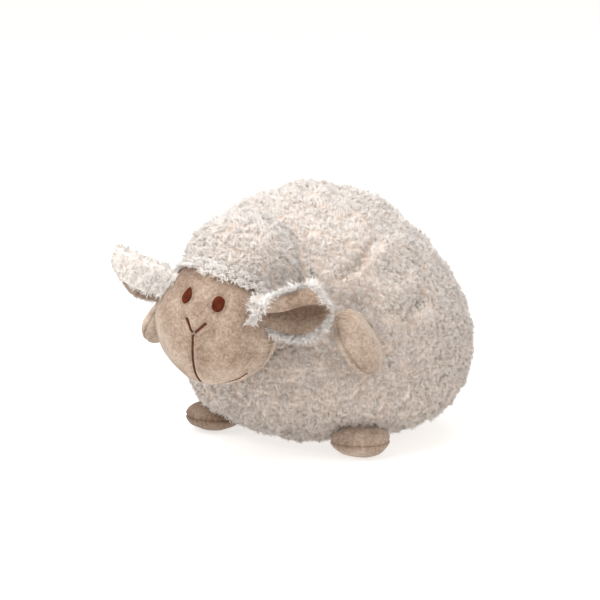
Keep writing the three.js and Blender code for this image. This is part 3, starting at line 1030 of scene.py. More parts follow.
def body_relief(points):
    """Waves and creases, and the low lip that the cloth raises on both sides of a crease."""
    relief = bumps(points, *BODY_BUMPS)
    for crease in CREASES:
        away, width = off_crease(points, crease)[1], crease["width"]
        lip = bell(away / width / 1.6 - 1.7, 1)
        relief += crease["depth"] * (LIP_SHARE * lip - bell(away, width))
    return relief


def ball_directions(fineness):
    shape = bmesh.new()
    bmesh.ops.create_icosphere(shape, subdivisions=fineness, radius=1)
    return shape, points_of(shape.verts)


def body_shape(grow, fineness):
    shape, directions = ball_directions(fineness)
    points = body_points(directions, grow)
    points += directions * body_relief(points)[:, None]
    points[:, 2] = np.maximum(points[:, 2], LOWEST_CLOTH)
    place_points(shape.verts, points)
    return shape


def cup(shape, radius, steps, reach=1.0):
    """Moves the open edge of the cloth onto the ball round the neck, and carries the cloth on along that
    ball, as far as a share of the way to its pole."""
    rim = [e for e in shape.edges if e.is_boundary]
    for vert in {v for e in rim for v in e.verts}:
        vert.co = NECK + (vert.co - NECK).normalized() * radius
    for step in range(steps):
        verts, rim = carry_on(shape, rim)
        for vert in verts:
            out = (vert.co - NECK).normalized()
            vert.co = NECK + out.slerp(INTO_BODY, reach / (steps - step * reach)) * radius
    bmesh.ops.remove_doubles(shape, verts=shape.verts, dist=CUP_MERGE)


def in_ball(points, radius):
    return np.linalg.norm(points - np.array(NECK), axis=1) < radius


def in_base(points):
    return (points[:, 2] < BASE_PANEL_TOP) & (np.hypot(points[:, 0], points[:, 1]) < BASE_PANEL_RADIUS)


whole = body_shape(-PILE_DEPTH, 6)
cover = part_of(whole, lambda p: ~in_ball(p, DISH_RADIUS))
cup(cover, DISH_RADIUS, 10)
cut(cover, (0, 0, 0), (1, 0, 0), 0.01)
panels = {
    "body_panel_left": lambda p: ~in_base(p) & (p[:, 0] > 0),
    "body_panel_right": lambda p: ~in_base(p) & (p[:, 0] <= 0),
    "body_base_panel": in_base,
}
print("faces of the body's skin:", len(cover.faces))

# %% [markdown]
# The body's pile is combed by slow waves, so that it swirls, and a little downwards. It is short and parted
# in the creases. No lock grows where the head or a paw covers the cloth.

# %% How the body's pile lies
SQUEEZED, SQUEEZED_WIDTH = 0.4, 5
PARTED_COMB, PARTED_WIDTH = 2.2, 6
DOWN_COMB = np.array((0, 0, -0.35))
TOP_PAINTED_LIGHT = 0.1


def body_shown(points):
    """Whether a place on the body is free of the head, the paws and the partings."""
    local = in_head(points)
    hidden = (off_face(local)[0] < -1) | (off_cap(local)[0] < -4)
    hidden |= np.linalg.norm(local, axis=1) < NECK_RADIUS + 0.5
    for paw, place in PAWS.values():
        hidden |= off_paw(moved(points, place.inverted()), paw)[0] < paw["hides_from"]
    for crease in PARTED:
        hidden |= off_crease(points, crease)[1] < crease["parting"]
    return ~hidden


def body_pile_length(points):
    """Short in the creases where the pile parts, because it is squeezed there."""
    length = np.ones(len(points))
    for crease in PARTED:
        length -= SQUEEZED * bell(off_crease(points, crease)[1], SQUEEZED_WIDTH)
    return length


def body_comb(points):
    """Swirling, a little downwards, and away from the creases where the pile parts."""
    combed = swirl(points, 17, 40) * 0.8 + DOWN_COMB
    for crease in PARTED:
        way, away = off_crease(points, crease)
        combed += PARTED_COMB * unit(way) * bell(away, PARTED_WIDTH)[:, None]
    return combed


def body_painted_light(points):
    """Painted light: the toy's top is paler."""
    return TOP_PAINTED_LIGHT * smoothstep(points[:, 2], 70, 190)


def body_shade(points):
    """Painted shade in the creases."""
    low = 1 - smoothstep(points[:, 2], 166, 184)
    shade = np.zeros(len(points))
    for crease in CREASES:
        depth = crease["shade"] - crease["paler_below"] * low
        width = crease["shade_width"] + crease["wider_below"] * low
        shade = np.maximum(shade, depth * bell(off_crease(points, crease)[1], width))
    return shade


# %% The body's fleece
for number, (name, keep) in enumerate(panels.items()):
    skin = part_of(cover, keep)
    bmesh.ops.recalc_face_normals(skin, faces=skin.faces)
    roots, normals = rooted(skin, 20 + number, (0, -12, 80), body_shown)
    length, painted_light, shade = body_pile_length(roots), body_painted_light(roots), body_shade(roots)
    clear_of = [*PAW_PUSHES, FACE_PUSH, push_off_floor]
    pile = lay_pile(roots, normals, body_comb(roots), 30 + number, length, clear_of, painted_light, shade)
    fleece_piece(name, "body", skin, [pile], shade_of=body_shade)
cover.free()

# %% [markdown]
# The back of the head is sewn to the body's front. Its cover carries the body's surface on across the dish
# and then follows the neck's ball inwards, so that nothing opens when the head nods. It is open towards
# the face, where the filling of the head passes through.

# %% The back of the head
BACK_REACH, HIDDEN_DEPTH = 0.8, 9
BACK_PILE_WIDTH, BACK_PILE_DEPTH = 26, 6


def out_of_head(points):
    local = in_head(points)
    return (off_face(local)[0] >= -HIDDEN_DEPTH) & (off_cap(local)[0] >= -HIDDEN_DEPTH)


def back_shown(points):
    local = in_head(points)
    outside = (off_face(local)[0] > -1.5) & (off_cap(local)[0] > -4)
    near_rim = np.linalg.norm(local, axis=1) > NECK_RADIUS - BACK_PILE_WIDTH
    return outside & near_rim & (off_body(points) > -BACK_PILE_DEPTH)


across_dish = part_of(whole, lambda p: in_ball(p, NECK_RADIUS))
whole.free()
cup(across_dish, NECK_RADIUS, 8, BACK_REACH)
back = part_of(across_dish, out_of_head)
across_dish.free()
bmesh.ops.recalc_face_normals(back, faces=back.faces)
roots, normals = rooted(back, 60, (0, 0, 100), back_shown)
# The back's pile is a little paler with painted light.
pile = lay_pile(roots, normals, body_comb(roots), 110, 1.0, [FACE_PUSH], 0.05)
fleece_piece("head_back_panel", "head", back, [pile])

# %% [markdown]
# The cap of fleece over the head is a dome. Its pile is combed from the crown outwards, and it hangs over the
# edge of the velour face like a fringe, which grows on a strip of the face's own form.

# %% The cap
CAP_DEPTH, CAP_BUMPS = 2.2, ((1.3, 34, 71), (0.7, 13, 72))
CROWN = moved(np.array(((4, 12, 66),)), HEAD)
# Painted light makes the cap's locks paler.
CAP_LENGTH, CAP_PAINTED_LIGHT = 1.15, 0.14


def cap_kept(points):
    return (off_face(in_head(points))[0] > -5) & (off_body(points) > -9)


def cap_shown(points):
    return (off_face(in_head(points))[0] > 0.3) & (off_body(points) > -3)


def cap_comb(points):
    return (points - CROWN) / 40 + swirl(points, 20, 75) * 0.75


def cap_skin():
    shape, directions = ball_directions(6)
    points = CAP_MIDDLE + directions * (CAP_RADIUS - CAP_DEPTH)
    points += directions * bumps(points, *CAP_BUMPS)[:, None]
    place_points(shape.verts, moved(points, HEAD))
    piece = part_of(shape, cap_kept)
    shape.free()
    bmesh.ops.recalc_face_normals(piece, faces=piece.faces)
    return piece


# %% The cap's fringe
OVERHANG, FRINGE_FROM, FRINGE_FULL = 11.5, -5, 15
# Painted light makes the fringe's locks paler.
FRINGE_SPACING_SHARE, FRINGE_LENGTH, FRINGE_PAINTED_LIGHT = 0.85, 1.12, 0.2


def fringe_kept(points):
    """The strip of the face's form that the cap's edge hangs over. It narrows behind the ears."""
    local = in_head(points)
    width = OVERHANG * smoothstep(local[:, 2], FRINGE_FROM, FRINGE_FULL)
    width *= 0.6 + 0.4 * smoothstep(local[:, 0], -35, 0)
    width += 0.8 * waves(local, 9, 86)
    reach = off_cap(local)[0]
    return (reach > -1) & (reach < width) & (off_body(points) > 0)


def cap_fringe():
    """A growth over the top of the face, combed down from the crown."""
    shape, directions = ball_directions(7)
    place_points(shape.verts, moved(FACE_MIDDLE + (FACE_HALF + 0.8) * directions, HEAD))
    strip = part_of(shape, fringe_kept)
    shape.free()
    roots, normals = darts(strip, SPACING * FRINGE_SPACING_SHARE, 83)
    strip.free()
    ways = unit(roots - moved(CAP_MIDDLE[None], HEAD)) * 2 + swirl(roots, 12, 85) * 0.5
    return lay_pile(roots, normals, ways, 84, FRINGE_LENGTH, [FACE_PUSH], FRINGE_PAINTED_LIGHT)


cap = cap_skin()
roots, normals = rooted(cap, 80, moved(CAP_MIDDLE[None], HEAD)[0], cap_shown)
pile = lay_pile(roots, normals, cap_comb(roots), 130, CAP_LENGTH, [FACE_PUSH], CAP_PAINTED_LIGHT)
fleece_piece("head_cap_panel", "head", cap, [pile, cap_fringe()])

# %% [markdown]
# The face is a firm velour cushion. Its relief is measured in millimetres outwards. The embroidery pulls
# the cloth in along every stitched line, the eyes lie in shallow dents, and small puckers cross the seam
# behind the cheek, where a longer piece of cloth was eased onto a shorter one.

# %% Where the face is stitched
EYE_SIDE, EYE_LEVEL = 15, 0
NOSE_FOOT, NOSE_FOOT_SIDE, NOSE_SIDE, NOSE_TOP = -27.5, 1.3, 9.3, -17.0
SMILE_PLANE, SMILE_LEVEL = -35.5, -61
LIP_FROM_NOSE, LIP_FROM_SMILE = 2.0, 1.3


def on_face(x, z):
    """The place on the plain form at a sideways and an upright distance from the head's middle."""
    share = 1 - (x / FACE_HALF[0]) ** 2 - ((z - FACE_MIDDLE[2]) / FACE_HALF[2]) ** 2
    return np.array((x, FACE_MIDDLE[1] - FACE_HALF[1] * math.sqrt(max(share, 0)), z))


def face_arc(start, end, count):
    """Places on the form along a straight line as seen from the front."""
    shares = np.linspace(0, 1, count)
    return [on_face(*(np.array(start) * (1 - s) + np.array(end) * s)) for s in shares]


def smile_arc(count):
    """Places on the form along the stitched smile, which lies in a plane across the chin."""
    depth = (SMILE_PLANE - FACE_MIDDLE[1]) / FACE_HALF[1]
    reach = math.sqrt(1 - depth**2)
    low = math.asin((FACE_MIDDLE[2] - SMILE_LEVEL) / (FACE_HALF[2] * reach))
    turns = np.linspace(math.pi + low, 2 * math.pi - low, count)
    x = FACE_HALF[0] * reach * np.cos(turns)
    z = FACE_MIDDLE[2] + FACE_HALF[2] * reach * np.sin(turns)
    return np.column_stack([x, np.full(count, SMILE_PLANE), z])


def lip_arc(count):
    """Places on the form from just under the nose to just before the smile."""
    end = math.sqrt(1 - ((SMILE_PLANE - LIP_FROM_SMILE - FACE_MIDDLE[1]) / FACE_HALF[1]) ** 2)
    start = (FACE_MIDDLE[2] - NOSE_FOOT + LIP_FROM_NOSE) / FACE_HALF[2]
    turns = np.linspace(math.asin(start), math.asin(end), count)
    y = FACE_MIDDLE[1] - FACE_HALF[1] * np.cos(turns)
    return np.column_stack([np.zeros(count), y, FACE_MIDDLE[2] - FACE_HALF[2] * np.sin(turns)])


def nose_arc(side):
    return face_arc((side * NOSE_FOOT_SIDE, NOSE_FOOT), (side * NOSE_SIDE, NOSE_TOP), 9)


STITCHED = {
    "nose_stitch_left": nose_arc(1),
    "nose_stitch_right": nose_arc(-1),
    "lip_stitch": lip_arc(24),
    "smile_stitch": smile_arc(40),
}
EYES = {"eye_left": on_face(EYE_SIDE, EYE_LEVEL), "eye_right": on_face(-EYE_SIDE, EYE_LEVEL)}
print("stitched lines:", list(STITCHED))

# %% The face's relief
FACE_BUMPS = ((0.7, 52, 81), (0.25, 19, 82))
STITCH_DEPTHS = {"nose_stitch_left": 1.3, "nose_stitch_right": 1.3, "lip_stitch": 1.3, "smile_stitch": 1.0}
STITCH_WIDTH, PADDED_BESIDE, PADDED_AT = 2.3, 0.5, 4.5
EYE_DENT, EYE_DENT_WIDTH = 1.0, 8
EYE_GROOVES, GROOVE_AT, GROOVE_WIDTH = {"eye_left": 0.9, "eye_right": 0.3}, 8.4, 1.3
CHEEK_RISE, CHEEK_WIDTH = 0.15, 0.75
SEAM_DEPTH, SEAM_WIDTH, PUCKER_HEIGHT = 1.3, 1.7, 0.5


def ahead_of_seam(points):
    return ahead_of(points, SEAM_POINT, SEAM_FORWARD)


def face_puckers(points):
    """Small folds across the seam, at the height of both cheeks."""
    ahead = ahead_of_seam(points)
    turn = np.arctan2(points[:, 2] - FACE_MIDDLE[2], points[:, 0])
    eased = bell(np.maximum(ahead, 0), 13) * bell(np.minimum(ahead, 0), 4)
    left_cheek = bell(np.angle(np.exp(1j * (turn + CHEEK_RISE))), CHEEK_WIDTH)
    right_cheek = bell(np.angle(np.exp(1j * (turn - math.pi - CHEEK_RISE))), CHEEK_WIDTH)
    pucker = np.sin(turn * 118 + 1.3 * np.sin(turn * 23)) + 0.6 * np.sin(turn * 71 + 2)
    return PUCKER_HEIGHT * pucker * eased * (left_cheek + right_cheek)


def face_relief(points):
    relief = bumps(points, *FACE_BUMPS)
    for name, line in STITCHED.items():
        away = distance_to(points, line)
        relief += PADDED_BESIDE * bell(away - PADDED_AT, PADDED_AT)
        relief -= STITCH_DEPTHS[name] * bell(away, STITCH_WIDTH)
    for name, middle in EYES.items():
        away = np.linalg.norm(points - middle, axis=1)
        relief -= EYE_DENT * bell(away, EYE_DENT_WIDTH)
        relief -= EYE_GROOVES[name] * bell(away - GROOVE_AT, GROOVE_WIDTH)
    return relief - SEAM_DEPTH * bell(ahead_of_seam(points), SEAM_WIDTH) + face_puckers(points)


def face_cloth(points):
    """Moves points of the plain form onto the shaped cloth, and says which way is out of it."""
    out = (points - FACE_MIDDLE) / FACE_HALF**2
    out /= np.linalg.norm(out, axis=1, keepdims=True)
    return points + out * face_relief(points)[:, None], out


def face_painted_shade(points):
    """Painted shade under the fringe, along the seam and round the eyes."""
    brow = 0.6 * (1 - smoothstep(off_cap(points)[0], 9, 26)) * smoothstep(points[:, 2], -12, 6)
    ahead = ahead_of_seam(points)
    seam = 0.6 * bell(np.maximum(ahead, 0), 7) * bell(np.minimum(ahead, 0), 1.2)
    dents = sum(0.4 * bell(np.linalg.norm(points - middle, axis=1) - 7, 1.6) for middle in EYES.values())
    return np.clip(brow + seam + dents, 0, 1)


# %% [markdown]
# The face and the jaw are two panels of one form, parted at the seam behind the cheeks. Every velour piece
# notes for each of its points how much painted shade darkens it, deep in a fold or a seam.

# %% The face's pieces
FACE_THICKNESS = 1.6
HEAD_NODS = (-8, 0, 8)


def velour_piece(solid, body, panel, thickness, slot, painted_shade_of, bend=None):
    """Gives a panel its thickness and notes its painted shade, and puts it in the place of its solid."""
    mesh = mesh_of(thicken(panel, thickness))
    shares = painted_shade_of(points_of(mesh.vertices)).astype(np.float32)
    mesh.attributes.new(PAINTED_SHADE_ATTRIBUTE, "FLOAT", "POINT").data.foreach_set("value", shares)
    return put(solid, "velour", mesh, body, slot, bend)


def face_kept(points):
    """Not far under the cap, and clear of the body however far the head nods."""
    local = in_head(points)
    in_neck = np.linalg.norm(local, axis=1) < NECK_RADIUS - 0.5
    kept = off_cap(local)[0] > -8
    for nod in HEAD_NODS:
        turned = HEAD @ Matrix.Rotation(math.radians(nod), 4, "X")
        kept &= off_body(moved(local, turned)) > np.where(in_neck, -11, 0.5)
    return kept


shape, directions = ball_directions(7)
place_points(shape.verts, moved(face_cloth(FACE_MIDDLE + FACE_HALF * directions)[0], HEAD))
face_whole = part_of(shape, face_kept)
shape.free()
seam_place, seam_way = HEAD @ SEAM_POINT, HEAD.to_3x3() @ SEAM_FORWARD
cut(face_whole, seam_place, seam_way, 0.02)
for name, side, slot in (("face_panel", 1, "velour"), ("jaw_panel", -1, "pale_velour")):
    panel = part_of(face_whole, lambda p: side * ahead_of(p, seam_place, seam_way) > 0)
    bmesh.ops.recalc_face_normals(panel, faces=panel.faces)
    piece = velour_piece(name, "head", panel, FACE_THICKNESS, slot, lambda p: face_painted_shade(in_head(p)))
face_whole.free()

# %% [markdown]
# The eyes and the lines are embroidered in satin stitch: threads laid side by side from edge to edge, each
# a little raised in the middle. A thread is a ring of points that is extruded along its way, so the light
# catches every one.

# %% Satin stitch
THREAD_RADIUS, THREAD_SIDES, THREAD_END_SHARE = 0.26, 6, 0.55
THREAD_SPOTS, SHORTEST_HALF, EDGE_MARGIN, LOOK_AHEAD = 7, 0.25, 0.15, 0.3
THREAD_FALL_SHARE, EVERY_OTHER_RISE = 0.96, 0.05


def sew(shape, line):
    """One round thread through the points of a line."""
    ring = bmesh.ops.create_circle(shape, segments=THREAD_SIDES, radius=1, cap_ends=True)["verts"]
    edges = edges_of(ring)
    last = len(line) - 1
    for step, point in enumerate(line):
        if step:
            ring, edges = lengthen(shape, ring, edges)
        ahead = Vector(line[min(step + 1, last)]) - Vector(line[max(step - 1, 0)])
        turn = ahead.to_track_quat("Z", "Y")
        thin = THREAD_END_SHARE if step in (0, last) else 1
        for k, vert in enumerate(ring):
            angle = 2 * math.pi * k / THREAD_SIDES
            out = turn @ Vector((math.cos(angle), math.sin(angle), 0)) * THREAD_RADIUS * thin
            vert.co = Vector(point) + out
    bmesh.ops.contextual_create(shape, geom=edges)


def lengths_along(line):
    """How far along a line each of its points lies."""
    return np.concatenate([[0], np.cumsum(np.linalg.norm(np.diff(line, axis=0), axis=1))])


def at_spots(spots, places, values):
    """The values that are known at some places along a line, at other spots of it."""
    return np.column_stack([np.interp(spots, places, values[:, k]) for k in range(3)])


def satin(line, half_widths, rise, slant, gap):
    """Threads across a line on the face, each as wide as the line is there."""
    shape = bmesh.new()
    line = np.array(line)
    lengths = lengths_along(line)
    count = max(int(lengths[-1] / gap), 2)
    for number, at in enumerate(np.linspace(EDGE_MARGIN, lengths[-1] - EDGE_MARGIN, count)):
        middle, later, sooner = at_spots([at, at + LOOK_AHEAD, at - LOOK_AHEAD], lengths, line)
        along = (later - sooner) / np.linalg.norm(later - sooner)
        across = np.cross(along, face_cloth(middle[None])[1][0])
        half = half_widths(at / lengths[-1])
        if half < SHORTEST_HALF:
            continue
        spots = np.linspace(-1, 1, THREAD_SPOTS)[:, None]
        cloth, outs = face_cloth(middle + (across + along * slant) * spots * half)
        lift = rise * np.sqrt(1 - THREAD_FALL_SHARE * spots**2) + EVERY_OTHER_RISE * (number % 2)
        sew(shape, moved(cloth + outs * lift, HEAD))
    return shape


# %% [markdown]
# The left eye is an even oval, and the right one comes to a point at its top. The nose's lines are thicker
# towards their outer ends.

# %% The embroidery
ROUND_HALF, POINTED_HALF, LINE_HALF = 5.2, 4.9, 0.95
EYE_GAP, LINE_GAP = 0.40, 0.46


def round_eye(share):
    up = 2 * share - 1
    return ROUND_HALF * (1 - abs(up) ** 2.6) ** (1 / 2.2)


def pointed_eye(share):
    up = 2 * share - 1
    return POINTED_HALF * math.sqrt(max(1 - up**2, 0)) * (1 - 0.34 * max(up, 0))


def line_width(share):
    return LINE_HALF


def nose_width(share):
    return 0.8 + 0.45 * share


def eye_line(x, low, high):
    """The upright line through an eye, from a distance under its middle to one over it."""
    return face_arc((x, EYE_LEVEL + low), (x, EYE_LEVEL + high), 13)


EMBROIDERY = {
    "eye_left": (eye_line(EYE_SIDE, -6, 6), round_eye, 1.0, 0.0),
    "eye_right": (eye_line(-EYE_SIDE, -6.3, 6.6), pointed_eye, 1.0, 0.0),
    "nose_stitch_left": (STITCHED["nose_stitch_left"], nose_width, 0.55, 0.5),
    "nose_stitch_right": (STITCHED["nose_stitch_right"], nose_width, 0.55, -0.5),
    "lip_stitch": (STITCHED["lip_stitch"], line_width, 0.5, 0.5),
    "smile_stitch": (STITCHED["smile_stitch"], line_width, 0.45, 0.5),
}
for name, (line, half_widths, rise, slant) in EMBROIDERY.items():
    slot, gap = ("eye_thread", EYE_GAP) if name in EYES else ("line_thread", LINE_GAP)
    threads = satin(line, half_widths, rise, slant, gap)
    bmesh.ops.recalc_face_normals(threads, faces=threads.faces)
    put(name, "threads", mesh_of(threads), "head", slot)

# %% [markdown]
# An ear is a leaf of cloth, folded in half along its length at the root. The left one opens towards its tip
# and rolls a lip over its hollow, and the right one stays folded. The leaf is walked from its lower edge,
# over the fold, to its upper edge, along a heading in the plane across the ear: 0 is forward and 90 is up.

# %% The ears' leaf
EAR_LENGTH, EAR_INSET, EAR_HALF_WIDTH, EAR_ROOT_HALF_WIDTH, EAR_BROAD = 72, 10, 31, 23, 0.55
EAR_STEPS, EAR_LANES = 40, 56
FIRST_HEADING, ROOT_FOLD, ROOT_SPREAD = 105, 185, 0.28
LIP_LANE, LIP_TURN = 0.74, 0.1
LEAVES = {
    "ear_left": {
        "side": 1,
        "tip_fold": 75,
        "lip": 160,
        "fold": 0.48,
        "fold_lane": 28,
        "tip_spread": 1.0,
        "rim_lengths": (1.1, 1.2, 0.8),
    },
    "ear_right": {
        "side": -1,
        "tip_fold": 150,
        "lip": 0,
        "fold": 0.56,
        "fold_lane": 32,
        "tip_spread": 0.4,
        "rim_lengths": (0.25, 0.45, 0.9),
    },
}
EAR_TURN, EAR_DROP = math.radians(11), math.radians(-5)
EAR_PLACE = (
    Matrix.Translation((41.5, -40, 8))
    @ Matrix.Rotation(EAR_TURN, 4, "Z")
    @ Matrix.Rotation(EAR_DROP, 4, "Y")
)


def ear_heading(leaf, along, lane):
    opened = smoothstep(along, 0.1, 1.3)
    fold = ROOT_FOLD + (leaf["tip_fold"] - ROOT_FOLD) * opened
    spread = ROOT_SPREAD + (leaf["tip_spread"] - ROOT_SPREAD) * opened
    lip = leaf["lip"] * smoothstep(along, 0, 0.4) * (1 - smoothstep(along, 0.6, 1.1))
    turned = smoothstep(lane, leaf["fold"] - spread / 2, leaf["fold"] + spread / 2)
    rolled = smoothstep(lane, LIP_LANE - LIP_TURN, LIP_LANE + LIP_TURN)
    return np.radians(FIRST_HEADING - fold * turned + lip * rolled)


def ear_half_width(along):
    if along < EAR_BROAD:
        share = smoothstep(along, 0, EAR_BROAD)
        return EAR_ROOT_HALF_WIDTH + (EAR_HALF_WIDTH - EAR_ROOT_HALF_WIDTH) * share
    return EAR_HALF_WIDTH * math.sqrt(1 - (0.99 * (along - EAR_BROAD) / (1 - EAR_BROAD)) ** 2)


def ear_row(leaf, along, offset):
    """One row of points across the leaf, off it by an offset to its back."""
    lane = 2 * ear_half_width(along) / EAR_LANES
    middles = ear_heading(leaf, along, (np.arange(EAR_LANES) + 0.5) / EAR_LANES)
    steps = np.column_stack([np.cos(middles), np.sin(middles)]) * lane
    line = np.concatenate([np.zeros((1, 2)), np.cumsum(steps, axis=0)])
    headings = ear_heading(leaf, along, np.arange(EAR_LANES + 1) / EAR_LANES)
    to_back = np.column_stack([-np.sin(headings), np.cos(headings)])
    line = line - line[leaf["fold_lane"]] + offset * to_back
    return np.column_stack([np.full(EAR_LANES + 1, EAR_LENGTH * along - EAR_INSET), -line[:, 0], line[:, 1]])


def ear_grid(leaf, offset, from_head):
    """Rows of points from the root to the tip, off the leaf by an offset to its back. Each lane starts
    where it leaves the head."""
    place = mirrored(leaf["side"]) @ EAR_PLACE
    ways = np.sin(math.pi / 2 * np.linspace(0, 1, EAR_STEPS + 1))
    grid = np.array([moved(ear_row(leaf, along, offset), place) for along in ways])
    for lane in range(EAR_LANES + 1):
        line = grid[:, lane]
        inside = np.minimum(off_face(line)[0], off_cap(line)[0]) < from_head
        first = np.flatnonzero(inside)[-1] if inside.any() else 0
        spots = first + (EAR_STEPS - first) * np.linspace(0, 1, EAR_STEPS + 1)
        grid[:, lane] = at_spots(spots, np.arange(EAR_STEPS + 1), line)
    return moved(grid.reshape(-1, 3), HEAD).reshape(EAR_STEPS + 1, EAR_LANES + 1, 3)


def ear_sheet(grid, outward, side):
    """A grid of faces laid on the rows of points, looking outward for side 1 and inward for side -1."""
    shape = bmesh.new()
    bmesh.ops.create_grid(shape, x_segments=EAR_STEPS, y_segments=EAR_LANES, size=1)
    for vert in shape.verts:
        step = round((vert.co.x + 1) / 2 * EAR_STEPS)
        lane = round((vert.co.y + 1) / 2 * EAR_LANES)
        vert.co = grid[step, lane]
    shape.normal_update()
    ways = outward.transpose(1, 0, 2).reshape(-1, 3)
    if side * (normals_of(shape.verts) * ways).sum() < 0:
        bmesh.ops.reverse_faces(shape, faces=shape.faces)
        shape.normal_update()
    return shape


print("ear, mm: length", EAR_LENGTH, "width of the flat leaf", 2 * EAR_HALF_WIDTH)

# %% [markdown]
# The pile on an ear is combed to its tip, and near the edge outwards over it. A row of short locks stands
# along the edge itself, because the fleece is cut a little larger than the lining and shows all round it.

# %% How the ears' pile lies
# Painted light makes the ears' pile and backing paler.
RIM_SPACING, EAR_SPACING, EAR_PILE, EAR_PAINTED_LIGHT = 0.9, 2.2, 0.85, 0.3
RIM_LEAN, RIM_UNEVEN = 0.55, (0.25, 7, 98)
LIP_MIDDLE, LIP_HALF, LIP_END = 0.745, 0.19, 0.85
LIP_PILE_SHARE, ROOT_LONGER = 0.3, 0.35


def grid_ways(grid):
    """The ways across the leaf and along it, at every point of it."""
    return unit(np.gradient(grid, axis=1)), unit(np.gradient(grid, axis=0))


def ear_comb(grid):
    """A rule for the way of the pile at any point of the leaf, and its place on the leaf."""
    outward = np.linspace(-1, 1, EAR_LANES + 1)[None, :, None]
    to_tip = np.linspace(0, 1, EAR_STEPS + 1)[:, None, None]
    across, along = grid_ways(grid)
    to_root = 1.2 * (1 - smoothstep(to_tip, 0.05, 0.25))
    ways = across * outward**5 * 1.5 + along * (0.2 + to_tip**8 - to_root)
    tree = tree_of(grid.reshape(-1, 3))

    def comb(points):
        near = np.array([tree.find(point)[1] for point in points])
        combed = ways.reshape(-1, 3)[near] + swirl(points, 12, 95) * 0.7
        return combed, near // (EAR_LANES + 1) / EAR_STEPS, near % (EAR_LANES + 1) / EAR_LANES

    return comb


def ear_pile_length(leaf, along, lane):
    """Short where the leaf rolls its lip and the fleece is squeezed, long round the sewn root."""
    in_lip = (np.abs(lane - LIP_MIDDLE) < LIP_HALF) * (along < LIP_END) * (leaf["lip"] > 0)
    squeezed = in_lip * smoothstep(along, 0.1, 0.3)
    longer = 1 + ROOT_LONGER * (1 - smoothstep(along, 0.1, 0.4))
    return EAR_PILE * (LIP_PILE_SHARE * squeezed + (1 - squeezed) * longer)


def ear_painted_shade(leaf, along, lane):
    """Painted shade, deepest in the fold, under the rolled lip."""
    in_fold = bell(lane - leaf["fold"] + 0.08, 0.24) * (1 - smoothstep(along, 0.6, 1.0))
    return np.clip(1.1 * in_fold, 0, 1)


def at_even_steps(line, values, spacing):
    """The line and its values again, at even steps."""
    lengths = lengths_along(line)
    spots = np.arange(spacing / 2, lengths[-1], spacing)
    return at_spots(spots, lengths, line), at_spots(spots, lengths, values)


def ear_rim(grid, back, lengths):
    """Places along the leaf's edge, the way out of the cloth there and the length of the locks, which is
    given for the lower edge, the upper edge and the tip."""
    across, along = grid_ways(grid)
    sides = [
        (grid[2:, 0], -across[2:, 0] - back[2:, 0] * RIM_LEAN),
        (grid[2:, -1], across[2:, -1] - back[2:, -1] * RIM_LEAN),
        (grid[-1], along[-1] - back[-1] * RIM_LEAN),
    ]
    laid = [at_even_steps(*side, RIM_SPACING * THIN_OUT) for side in sides]
    sizes = [length * (1 + bumps(spots, RIM_UNEVEN)) for (spots, _), length in zip(laid, lengths)]
    return [np.concatenate(part) for part in zip(*laid)] + [np.concatenate(sizes)]


# %% [markdown]
# The fleece and the lining lie on both sides of the leaf, a little uneven. Both are sewn to the head, so they
# bend over from it when the ear flaps.

# %% The ears' pieces
LINING_OFFSET, LINING_IN_HEAD, BACK_OFFSET, BACK_OFF_HEAD = -0.2, -1.4, 1.9, 0.4
LINING_THICKNESS, SHEET_UNEVEN = 0.8, 0.15
EAR_BEND_FROM, EAR_BEND_TO = Vector((-2, 0, 0)), Vector((16, 0, 0))

for name, leaf in LEAVES.items():
    face_side = ear_grid(leaf, LINING_OFFSET, LINING_IN_HEAD)
    back_side = ear_grid(leaf, BACK_OFFSET, BACK_OFF_HEAD)
    back = unit(back_side - face_side)
    sheets = []
    for grid, side in ((face_side, -1), (back_side, 1)):
        uneven = waves(grid.reshape(-1, 3), 12, 90).reshape(*grid.shape[:2], 1)
        sheets.append(ear_sheet(grid + back * SHEET_UNEVEN * uneven, back, side))
    lining, backing = sheets
    roots, normals = darts(backing, EAR_SPACING * THIN_OUT, 100)
    combed, along, lane = ear_comb(back_side)(roots)
    lengths = ear_pile_length(leaf, along, lane)
    rim, out, rim_lengths = ear_rim((face_side + back_side) / 2, back, leaf["rim_lengths"])
    piles = [
        lay_pile(roots, normals, combed, 101, lengths, [FACE_PUSH], EAR_PAINTED_LIGHT),
        lay_pile(rim, out, swirl(rim, 9, 97), 102, rim_lengths, [FACE_PUSH], EAR_PAINTED_LIGHT),
    ]
    place = HEAD @ mirrored(leaf["side"]) @ EAR_PLACE
    bend = ("head", place @ EAR_BEND_FROM, place @ EAR_BEND_TO)
    fleece_piece(name + "_back", name, backing, piles, bend, EAR_PAINTED_LIGHT)
    comb = ear_comb(face_side)
    velour_piece(
        name + "_lining",
        name,
        lining,
        LINING_THICKNESS,
        "velour",
        lambda points: ear_painted_shade(leaf, *comb(points)[1:]),
        bend,
    )

# %% [markdown]
# Arms and feet are little pillows of two panels. The seam round the edge is pulled in, and the cloth beside
# it puckers. The cloth also creases a little across the paw, more on the arms. Like the ears, the paws are
# sewn on, so their cloth leaves the body at the hinge and bends over a short way.

# %% The paws' cloth
PAW_THICKNESS, PAW_LOWEST, PAW_IN_BODY = 1.4, 0.05, 9
PAW_BEND_TO = Vector((18, 0, 0))
PAW_BUMPS = ((0.55, 30), (0.22, 11))
PAW_SEAM_DEPTH, PAW_SEAM_WIDTH = 1.3, 1.2
# Painted shade over the whole of a paw.
WHOLE_PAW_SHADE = {"foot_right": 0.65, "arm_left": 0.15}


